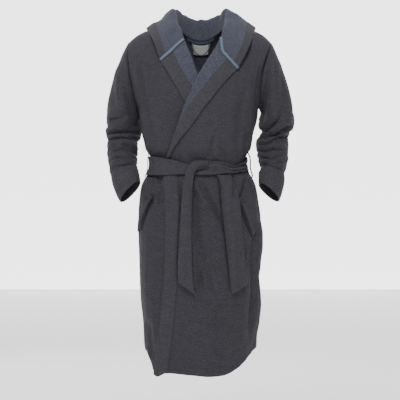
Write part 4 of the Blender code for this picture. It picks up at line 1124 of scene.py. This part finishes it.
def arm_ring(side, share):
    x, y, z, wide, deep = (fair([(s[0], s[k]) for s in ARM[side]], share) for k in range(1, 6))
    centre = np.array([side * x, y, z])
    ends = []
    for near in (max(share - 0.03, SLEEVE_HEAD), min(share + 0.03, 1.0)):
        ends.append(np.array([side * fair([(s[0], s[1]) for s in ARM[side]], near),
                              fair([(s[0], s[2]) for s in ARM[side]], near),
                              fair([(s[0], s[3]) for s in ARM[side]], near)]))
    along = (ends[1] - ends[0]) / np.linalg.norm(ends[1] - ends[0])
    outward = np.array([side, 0, 0]) - along * along[0] * side
    outward /= np.linalg.norm(outward)
    forward = np.array([0, -1.0, 0]) + along * along[1]
    forward -= outward * forward.dot(outward)
    forward /= np.linalg.norm(forward)
    ring = centre + outward * np.cos(TURN)[:, None] * wide + forward * np.sin(TURN)[:, None] * deep
    slant = 0.62 * smooth((share - 0.86) / 0.14)
    ring[:, 2] -= slant * (ring[:, 0] - centre[0]) * side
    return ring, along


sleeve_grids, sleeve_normals = {}, {}
for side in (1, -1):
    loop_ring = armhole(side)
    head_ring, head_way = arm_ring(side, SLEEVE_HEAD)
    tip_way = np.array([side * 0.50, 0.0, -0.85])
    rows = []
    for share in RINGS:
        if share >= SLEEVE_HEAD:
            rows.append(arm_ring(side, share)[0])
            continue
        u = share / SLEEVE_HEAD
        length = np.linalg.norm(head_ring - loop_ring, axis=1, keepdims=True)
        top = (0.5 + 0.5 * np.cos(TURN))[:, None]
        leave = tip_way * top + np.array([side * 0.35, 0, -0.9]) * (1 - top)
        leave = leave + np.stack([0 * TURN, -0.55 * np.sin(TURN), 0 * TURN], axis=1)
        leave = leave / np.linalg.norm(leave, axis=1, keepdims=True) * length * 0.75
        arrive = head_way * length * 0.9
        rows.append(loop_ring * (1 + 2 * u) * (1 - u) ** 2 + head_ring * u * u * (3 - 2 * u)
                    + leave * u * (1 - u) ** 2 + arrive * u * u * (u - 1))
    grid = np.array(rows)
    out = grid_normals(grid, around=True)
    middle = grid.mean(axis=1, keepdims=True)
    out *= np.sign((out * (grid - middle)).sum(axis=2, keepdims=True).mean())
    front = smooth((-out[..., 1] + 0.25) / 0.75)
    share = RINGS[:, None] + 0 * TURN[None]
    free = smooth((share - 0.01) / 0.08)
    lift = creased(grid[..., 0], grid[..., 2], SLEEVE_FOLDS[side], SLEEVE_FOLD_GAIN) * front
    phase = 1.3 if side > 0 else 0.2
    turn = TURN[None] + 0 * share
    rucks = np.sin(share * 74 + 1.1 * np.sin(turn + phase) + 0.5 * np.sin(2 * turn + 2 * phase) + phase)
    elbow = np.exp(-(((share - 0.56) / 0.15) ** 2)) + 0.35 * np.exp(-(((share - 0.80) / 0.10) ** 2))
    lift = lift + 0.0042 * rucks * elbow * (1 - 0.8 * front)
    lift = lift + (0.0022 * np.sin(turn * 3 + phase * 3 + share * 9) * smooth((0.5 - share) / 0.3)
                   * (1 - 0.5 * front))
    lift = lift + 0.0010 * np.sin(share * 118 + 3 * np.sin(turn * 2)) * smooth((share - 0.35) / 0.1)
    lift = lift - 0.0016 * np.exp(-(((share - CUFF_START) / 0.006) ** 2))
    lift = (SLEEVE_FOLD_LIMIT * np.tanh(lift / SLEEVE_FOLD_LIMIT) * free
            * (1 - 0.75 * smooth((share - 0.86) / 0.06)))
    grid = grid + out * lift[..., None]
    grid[1:-1] = 0.25 * grid[:-2] + 0.5 * grid[1:-1] + 0.25 * grid[2:]
    # Inside the bend, folds that crowd one another are eased apart.
    for _ in range(EASING_PASSES):
        core = grid.mean(axis=1, keepdims=True)
        way = np.diff(core, axis=0)
        room = np.linalg.norm(way, axis=2)
        tight = (np.diff(grid, axis=0) * way).sum(axis=2) < LEAST_ROOM * room**2
        crowded = np.zeros(grid.shape[:2], bool)
        crowded[:-1] |= tight
        crowded[1:] |= tight
        crowded[[0, -1]] = False
        between = 0.5 * (np.roll(grid, 1, axis=0) + np.roll(grid, -1, axis=0))
        grid = np.where(crowded[..., None], between, grid)
    out = grid_normals(grid, around=True)
    out *= np.sign((out * (grid - middle)).sum(axis=2, keepdims=True).mean())
    sleeve_grids[side], sleeve_normals[side] = grid, out

for side, name in ((1, "left"), (-1, "right")):
    grid, out = sleeve_grids[side], sleeve_normals[side]
    facing = float(np.sign((out * grid_normals(grid, around=True)).sum()))
    split = int(np.searchsorted(RINGS, SLEEVE_SPLIT))
    wrist = int(np.searchsorted(RINGS, CUFF_START))
    order = slice(None) if facing > 0 else slice(None, None, -1)
    parts = []
    for piece_name, rows, butt, thick in ((f"sleeve_head_{name}", slice(0, split + 1), (-1,), KNIT_THICKNESS),
                                          (f"sleeve_arm_{name}", slice(split, wrist), (0,), KNIT_THICKNESS),
                                          (f"wrist_cuff_{name}", slice(wrist, None), (), CUFF_THICKNESS)):
        parts.append(cloth_piece(piece_name, grid[rows][:, order], thick,
                                 BAND_KNIT if "cuff" in piece_name else CHARCOAL,
                                 None if "cuff" in piece_name else MELANGE,
                                 around=True, butt=butt, normals=out[rows][:, order]))
    head, arm, cuff = parts
    # The reach of the stretch between the armhole seam and the middle of the sleeve, and of the stretch below
    # the elbow seam, is worked out along the arm; the head and arm are then fixed in place and the cuff goes
    # with the forearm.
    swing = np.array([side * math.cos(SEAM_SLOPE), 0, -math.sin(SEAM_SLOPE)])
    down_arm = np.array([-side * 0.06, -0.25, -0.965])
    down_arm /= np.linalg.norm(down_arm)
    shoulder_start, shoulder_end = (grid[0] @ swing).max() + 0.001, (grid[split] @ swing).min() - 0.001
    elbow_start = (grid[split] @ down_arm).max() + 0.001
    tuple(swing * shoulder_start)
    tuple(swing * shoulder_end)
    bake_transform(head)
    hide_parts(f"sleeve_{name}_upper")
    tuple(down_arm * elbow_start)
    tuple(down_arm * (elbow_start + 0.055))
    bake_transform(arm)
    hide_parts(f"sleeve_{name}_elbow", f"sleeve_{name}_forearm")
    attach(cuff, f"forearm_{name}")
    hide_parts(f"cuff_{name}")

# ---------------------------------------------------------------------------
# Belt
# A doubled strip of the knit. It lies flat round the right side and the back,
# bunches towards the knot from the left, and is tied in one turn in front.
# ---------------------------------------------------------------------------
BELT_TOP = [
    (-0.20, -0.4420), (-0.176, -0.4427), (-0.119, -0.4515), (-0.075, -0.4620), (-0.042, -0.4710),
    (-0.019, -0.4690),
    (0.009, -0.4630), (0.037, -0.4611), (0.065, -0.4625), (0.092, -0.4700), (0.111, -0.4765), (0.134, -0.4667),
    (0.155, -0.4528), (0.18, -0.4500),
]
BELT_LOW = [
    (-0.20, -0.5040), (-0.120, -0.5060), (-0.070, -0.5040), (-0.010, -0.5055), (0.050, -0.5040),
    (0.098, -0.4985),
    (0.140, -0.4920), (0.167, -0.4890), (0.18, -0.4900),
]
UPPER_TURN_EDGE = [(-0.135, -0.4530), (-0.095, -0.4600), (-0.060, -0.4740), (-0.030, -0.4860), (0.0, -0.492)]
GATHER_LINE = [(-0.010, -0.4930), (0.040, -0.4800), (0.090, -0.4850), (0.150, -0.4700)]
BELT_THICKNESS = 0.0042


def belt_row(points_x, face, v):
    """Heights of the belt at a share v of its width, from its lower edge."""
    if face == FRONT:
        top, low = fair(BELT_TOP, points_x), fair(BELT_LOW, points_x)
    else:
        top, low = -0.4430 + 0 * points_x, -0.4985 + 0 * points_x
    return low + (top - low) * v


BELT_HEIGHT = -0.47
belt_across = np.linspace(-0.995, 0.995, 190)
rows = []
for v in np.linspace(0, 1, 23):
    line = []
    for face in (FRONT, BACK):
        a = belt_across if face == FRONT else belt_across[::-1]
        middle_heights = on_grid(laid_points[face], np.zeros_like(UP), UP)[:, 2]
        waist_up = np.interp(BELT_HEIGHT, middle_heights, UP)
        x = on_grid(laid_points[face], a, np.full_like(a, waist_up))[:, 0]
        z = belt_row(x, face, v)
        up = np.empty_like(a)
        for k in range(len(a)):
            column = on_grid(laid_points[face], np.full_like(UP, a[k]), UP)[:, 2]
            up[k] = np.interp(z[k], column, UP)
        bunch = smooth((x + 0.05) / 0.05) * smooth((0.165 - x) / 0.03) if face == FRONT else 0 * x
        fold = 0.0030 * np.sin(v * 11.5 + x * 22) * bunch
        ease = 0.0008 * np.sin(a * 23 + v * 4) + 0.0008 * np.sin(a * 41 - v * 7)
        if face == FRONT:
            crossing = along_line(x, z, UPPER_TURN_EDGE)[0]
            over = (0.0022 * smooth((-crossing + 0.0015) / 0.003) * smooth((x + 0.14) / 0.03)
                    * smooth((0.02 - x) / 0.03))
            wedge = along_line(x, z, GATHER_LINE)[0]
            over = over - 0.0030 * np.exp(-((wedge / 0.004) ** 2)) * bunch
        else:
            over = 0 * x
        clear = 0.0092 if face == FRONT else 0.0060
        side_ease = 1 - 0.35 * smooth((np.abs(a) - 0.8) / 0.2)
        line.append(laid(face, a, up, clear * side_ease + fold + ease + over))
        line[-1][:, 2] = z
    rows.append(np.concatenate(line))
belt_grid = np.array(rows)
belt = cloth_piece("belt_round_waist", belt_grid, BELT_THICKNESS, BAND_KNIT, around=True, body="robe")
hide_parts("belt_waist")


def strip_over(stations, curl, count=60, wide=15, folds=0.0):
    """A strip of belt: stations are (share, left x, left z, right x, right z, lift)."""
    s = np.linspace(0, 1, count)
    xa, za, xb, zb, lift = (fair([(row[0], row[k]) for row in stations], s) for k in range(1, 6))
    v = np.linspace(0, 1, wide)[None]
    x = xa[:, None] + (xb - xa)[:, None] * v
    z = za[:, None] + (zb - za)[:, None] * v
    bow = curl * np.sin(math.pi * v) + folds * np.sin(v * 13 + s[:, None] * 5)
    grid = on_front(x, z, 0.0)
    grid[..., 1] -= lift[:, None] + bow
    return grid


# The turn of the knot: it comes out over the belt, goes up and over its top
# edge, and down in front into the right tail.
KNOT = [(0.00, 0.024, -0.4740, 0.022, -0.4600, 0.0135), (0.12, 0.012, -0.4750, 0.009, -0.4590, 0.0175),
        (0.28, -0.003, -0.4770, -0.012, -0.4590, 0.0215), (0.44, -0.013, -0.4840, -0.031, -0.4665, 0.0230),
        (0.60, -0.021, -0.4960, -0.044, -0.4830, 0.0225), (0.80, -0.0245, -0.5060, -0.0500, -0.5000, 0.0195),
        (1.00, -0.0262, -0.5150, -0.0545, -0.5120, 0.0165)]
knot_grid = strip_over(KNOT, 0.0070, count=80, folds=0.0010)
knot = cloth_piece("belt_turn", knot_grid, 0.0046, BAND_KNIT, body="robe")
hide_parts("belt_knot")

# The two tails hang free in front, each with a slanted end.
TAILS = {
    "right": [(0.00, -0.0545, -0.5120, -0.0262, -0.5150, 0.0165),
              (0.06, -0.0570, -0.534, -0.0285, -0.537, 0.0145),
              (0.20, -0.0630, -0.585, -0.0315, -0.590, 0.0118),
              (0.45, -0.0714, -0.678, -0.0335, -0.690, 0.0110),
              (0.72, -0.0765, -0.780, -0.0320, -0.795, 0.0108),
              (0.88, -0.0780, -0.835, -0.0290, -0.858, 0.0108),
              (1.00, -0.0785, -0.872, -0.0235, -0.909, 0.0110)],
    "left": [(0.00, 0.0545, -0.508, 0.1000, -0.508, 0.0108), (0.06, 0.0640, -0.526, 0.1070, -0.524, 0.0112),
             (0.20, 0.0710, -0.590, 0.1270, -0.582, 0.0112), (0.45, 0.0800, -0.684, 0.1385, -0.676, 0.0110),
             (0.72, 0.0930, -0.790, 0.1475, -0.780, 0.0110), (0.88, 0.1000, -0.860, 0.1540, -0.842, 0.0110),
             (1.00, 0.1060, -0.912, 0.1600, -0.879, 0.0112)],
}
tail_grids = {}
for name, curl, seed in (("right", 0.0030, 0.4), ("left", 0.0026, 1.9)):
    grid = strip_over(TAILS[name], curl, count=150, wide=17)
    s, v = np.meshgrid(np.linspace(0, 1, 150), np.linspace(0, 1, 17), indexing="ij")
    if name == "right":
        grid[..., 1] -= 0.0040 * np.sin(math.pi * v) * (1 - smooth(s / 0.15))
    waves = 0.0016 * np.sin(s * 9 + seed) * (2 * v - 1) + 0.0012 * np.sin(s * 17 + v * 2 + seed * 3)
    grid[..., 1] -= (waves + 0.0008) * smooth(s / 0.1)
    tail_grids[name] = grid
    tail = cloth_piece(f"belt_end_{name}", grid, BELT_THICKNESS, BAND_KNIT)
    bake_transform(tail)
    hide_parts(f"belt_tail_{name}")

# Thread loops at the sides that the belt runs through: the left one stands open, the right one hugs the belt.
CARRIER_ARCH = [  # reach out from the side seam, height
    (0.0000, -0.4270), (0.0045, -0.4275), (0.0085, -0.4320), (0.0122, -0.4400), (0.0145, -0.4500),
    (0.0150, -0.4650),
    (0.0148, -0.4800), (0.0140, -0.4950), (0.0105, -0.5060), (0.0050, -0.5130), (0.0000, -0.5150),
]
CARRIER_FIT = {  # the side's widths, the least half width, how much of the arch's reach is used, thread radius
    "left": (LEFT_HALF_WIDTH, 0.158, 1.00, 0.0025),
    "right": (RIGHT_HALF_WIDTH, 0.178, 0.60, 0.0014),
}
for side, name in ((1, "left"), (-1, "right")):
    half_width, least, slack, radius = CARRIER_FIT[name]
    heights = [z for _, z in CARRIER_ARCH]
    outer = [side * (max(float(fair(half_width, z)), least) + reach * slack) for reach, z in CARRIER_ARCH]
    share = np.linspace(0, 1, len(CARRIER_ARCH))
    k = np.linspace(0, 1, 50)
    line = np.stack([fair(list(zip(share, outer)), k), 0.0014 * np.sin(k * 9),
                     fair(list(zip(share, heights)), k)], axis=1)
    thread = round_cord(f"belt_carrier_{name}", line, radius, BAND_KNIT, "robe", sides=8)
    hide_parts(f"belt_loop_{name}")

# ---------------------------------------------------------------------------
# Stitching
# Rows of lockstitch in charcoal thread hold the hems, the bands, the cuffs,
# the pocket facings and both edges of the belt.
# ---------------------------------------------------------------------------
THREAD = bpy.data.materials.new("charcoal_thread")
THREAD.use_nodes = True
thread_shader = THREAD.node_tree.nodes["Principled BSDF"]
thread_place = Socket(THREAD.node_tree, THREAD.node_tree.nodes.new("ShaderNodeTexCoord").outputs["Object"])
thread_wear = noise(thread_place, thread_place, 900, 2.0)
thread_shade = tint(thread_place, thread_wear, (0.020, 0.020, 0.025), (0.060, 0.060, 0.070))
THREAD.node_tree.links.new(thread_shade.out, thread_shader.inputs["Base Color"])
THREAD.node_tree.links.new((thread_wear * 0.3 + 0.50).out, thread_shader.inputs["Roughness"])

stitch_rows = bpy.data.node_groups.new("stitch_rows", "GeometryNodeTree")
for name, kind, way in (("Geometry", "NodeSocketGeometry", "INPUT"), ("Pitch", "NodeSocketFloat", "INPUT"),
                        ("Length", "NodeSocketFloat", "INPUT"), ("Thread", "NodeSocketFloat", "INPUT"),
                        ("Finish", "NodeSocketMaterial", "INPUT"),
                        ("Geometry", "NodeSocketGeometry", "OUTPUT")):
    stitch_rows.interface.new_socket(name=name, in_out=way, socket_type=kind)


def tree_node(kind, inputs=None, **settings):
    made = stitch_rows.nodes.new(kind)
    for key, value in settings.items():
        setattr(made, key, value)
    for key, value in (inputs or {}).items():
        if isinstance(value, bpy.types.NodeSocket):
            stitch_rows.links.new(value, made.inputs[key])
        else:
            made.inputs[key].default_value = value
    return made


given = tree_node("NodeGroupInput")
line = tree_node("GeometryNodeMeshToCurve", {"Mesh": given.outputs["Geometry"]})
spaced = tree_node("GeometryNodeResampleCurve", {"Curve": line.outputs[0], "Length": given.outputs["Pitch"]},
                   mode="LENGTH")
along = tree_node("GeometryNodeInputTangent")
turned = tree_node("FunctionNodeAlignEulerToVector", {"Vector": along.outputs[0]}, axis="X")
bead = tree_node("GeometryNodeMeshIcoSphere", {"Radius": 0.5, "Subdivisions": 1})
size = tree_node("ShaderNodeCombineXYZ", {"X": given.outputs["Length"], "Y": given.outputs["Thread"],
                                          "Z": given.outputs["Thread"]})
placed = tree_node("GeometryNodeInstanceOnPoints", {"Points": spaced.outputs[0], "Instance": bead.outputs[0],
                                                    "Rotation": turned.outputs[0], "Scale": size.outputs[0]})
real = tree_node("GeometryNodeRealizeInstances", {0: placed.outputs[0]})
painted = tree_node("GeometryNodeSetMaterial",
                    {"Geometry": real.outputs[0], "Material": given.outputs["Finish"]})
tree_node("NodeGroupOutput", {"Geometry": painted.outputs[0]})


def stitches(name, lines):
    """One mesh of stitches along lines of points."""
    points, edges = [], []
    for row in lines:
        edges += [(len(points) + k, len(points) + k + 1) for k in range(len(row) - 1)]
        points += [tuple(p) for p in np.asarray(row, float)]
    path = bpy.data.meshes.new(name + "_path")
    path.from_pydata(points, edges, [])
    guide = bpy.data.objects.new(name + "_path", path)
    bpy.context.scene.collection.objects.link(guide)
    sew = guide.modifiers.new("sew", "NODES")
    sew.node_group = stitch_rows
    values = {"Pitch": 0.0036, "Length": 0.0027, "Thread": 0.00085, "Finish": THREAD}
    for socket in stitch_rows.interface.items_tree:
        if socket.in_out == "INPUT" and socket.name in values:
            sew[socket.identifier] = values[socket.name]
    made = bpy.data.meshes.new_from_object(guide.evaluated_get(bpy.context.evaluated_depsgraph_get()))
    bpy.data.objects.remove(guide)
    made.name = name
    piece = bpy.data.objects.new(name, made)
    bpy.context.scene.collection.objects.link(piece)
    return piece


SEATED = 0.0001  # how far a stitch stands off the cloth
PROUD = KNIT_THICKNESS / 2 + SEATED
a = np.linspace(-0.985, 0.985, 260)
hem_left = np.linspace(float(np.interp(-0.157, sideways(ACROSS) * 0.193, ACROSS)), 0.985, 200)
hem_right = np.linspace(-0.985, float(hem_left[0]) - 0.05, 40)
lines = [laid(BACK, a, 0.0165, PROUD), laid(FRONT, hem_left, 0.0165, PROUD + 0.0014),
         laid(FRONT, hem_right, 0.0165, PROUD)]
z = np.linspace(-1.170, -0.512, 150)
for off in (0.0030, -0.0030):
    lines.append(on_front(fair(LEFT_EDGE, z) + BAND + off, z, PROUD + (0.0012 if off < 0 else 0.0)))
z = np.linspace(-0.446, -0.396, 16)
lines.append(on_front(np.interp(z, [-0.47, -0.43, -0.40, -0.389], [-0.067, -0.069, -0.0718, -0.0718]),
                      z, PROUD))
for side in (1, -1):
    rise = np.linspace(0.02 if side > 0 else 0.30, 0.985, 130)
    share = lapel_seam(side, rise)
    keep = share > 0.03
    rise, share = rise[keep], share[keep]
    x, z = lapel_place(side, share + 0.045, rise)
    under = under_left(x, z) if side < 0 else 0
    lines.append(on_front(x, z, LAYER + 0.0004 + 0.0016 * np.sin(math.pi * np.clip(share, 0, 1))
                          + 0.0023 + under))
    u = np.linspace(ARM_LEVEL + 0.01, 0.985, 60)
    for face in (FRONT, BACK):
        lines.append(laid(face, np.full_like(u, side * 0.982), u, PROUD))
lines += pocket_edges
belt_out = grid_normals(belt_grid, around=True)
belt_way = np.sign((belt_out * (belt_grid - belt_grid.mean(axis=(0, 1)))).sum())
for r in (2, len(belt_grid) - 3):
    ring = belt_grid[r] + belt_out[r] * belt_way * (BELT_THICKNESS / 2 + SEATED)
    lines.append(np.concatenate([ring, ring[:1]]))
for c in (2, -3):
    lines.append(knot_grid[4:, c] + np.array([0, -0.0024, 0]))
robe_stitches = stitches("robe_stitching", lines)
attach(robe_stitches, "robe")
for name, grid in tail_grids.items():
    out = grid_normals(grid)
    out *= -np.sign(out[..., 1].sum())
    shell = grid + out * (BELT_THICKNESS / 2 + SEATED)
    end = shell[-4, 2:-2]
    tail_stitches = stitches(f"belt_end_stitching_{name}", [shell[2:-3, 2], shell[2:-3, -3], end])
    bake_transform(tail_stitches)
for side, name in ((1, "left"), (-1, "right")):
    wrist = int(np.searchsorted(RINGS, CUFF_START))
    shell = sleeve_grids[side] + sleeve_normals[side] * PROUD
    ring = shell[wrist - 2]
    cuff_stitches = stitches(f"cuff_stitching_{name}", [np.concatenate([ring, ring[:1]])])
    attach(cuff_stitches, f"forearm_{name}")
shell = hood_grid + hood_out * (HOOD_BAND_THICKNESS / 2 + SEATED)
back_shell = hood_grid - hood_out * (HOOD_BAND_THICKNESS / 2 + SEATED)
lines = [shell[cut_row + 2], back_shell[cut_row + 2]]
hood_stitches = stitches("hood_stitching", lines)
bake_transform(hood_stitches)
out = [[float(v) for v in corner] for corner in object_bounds()]
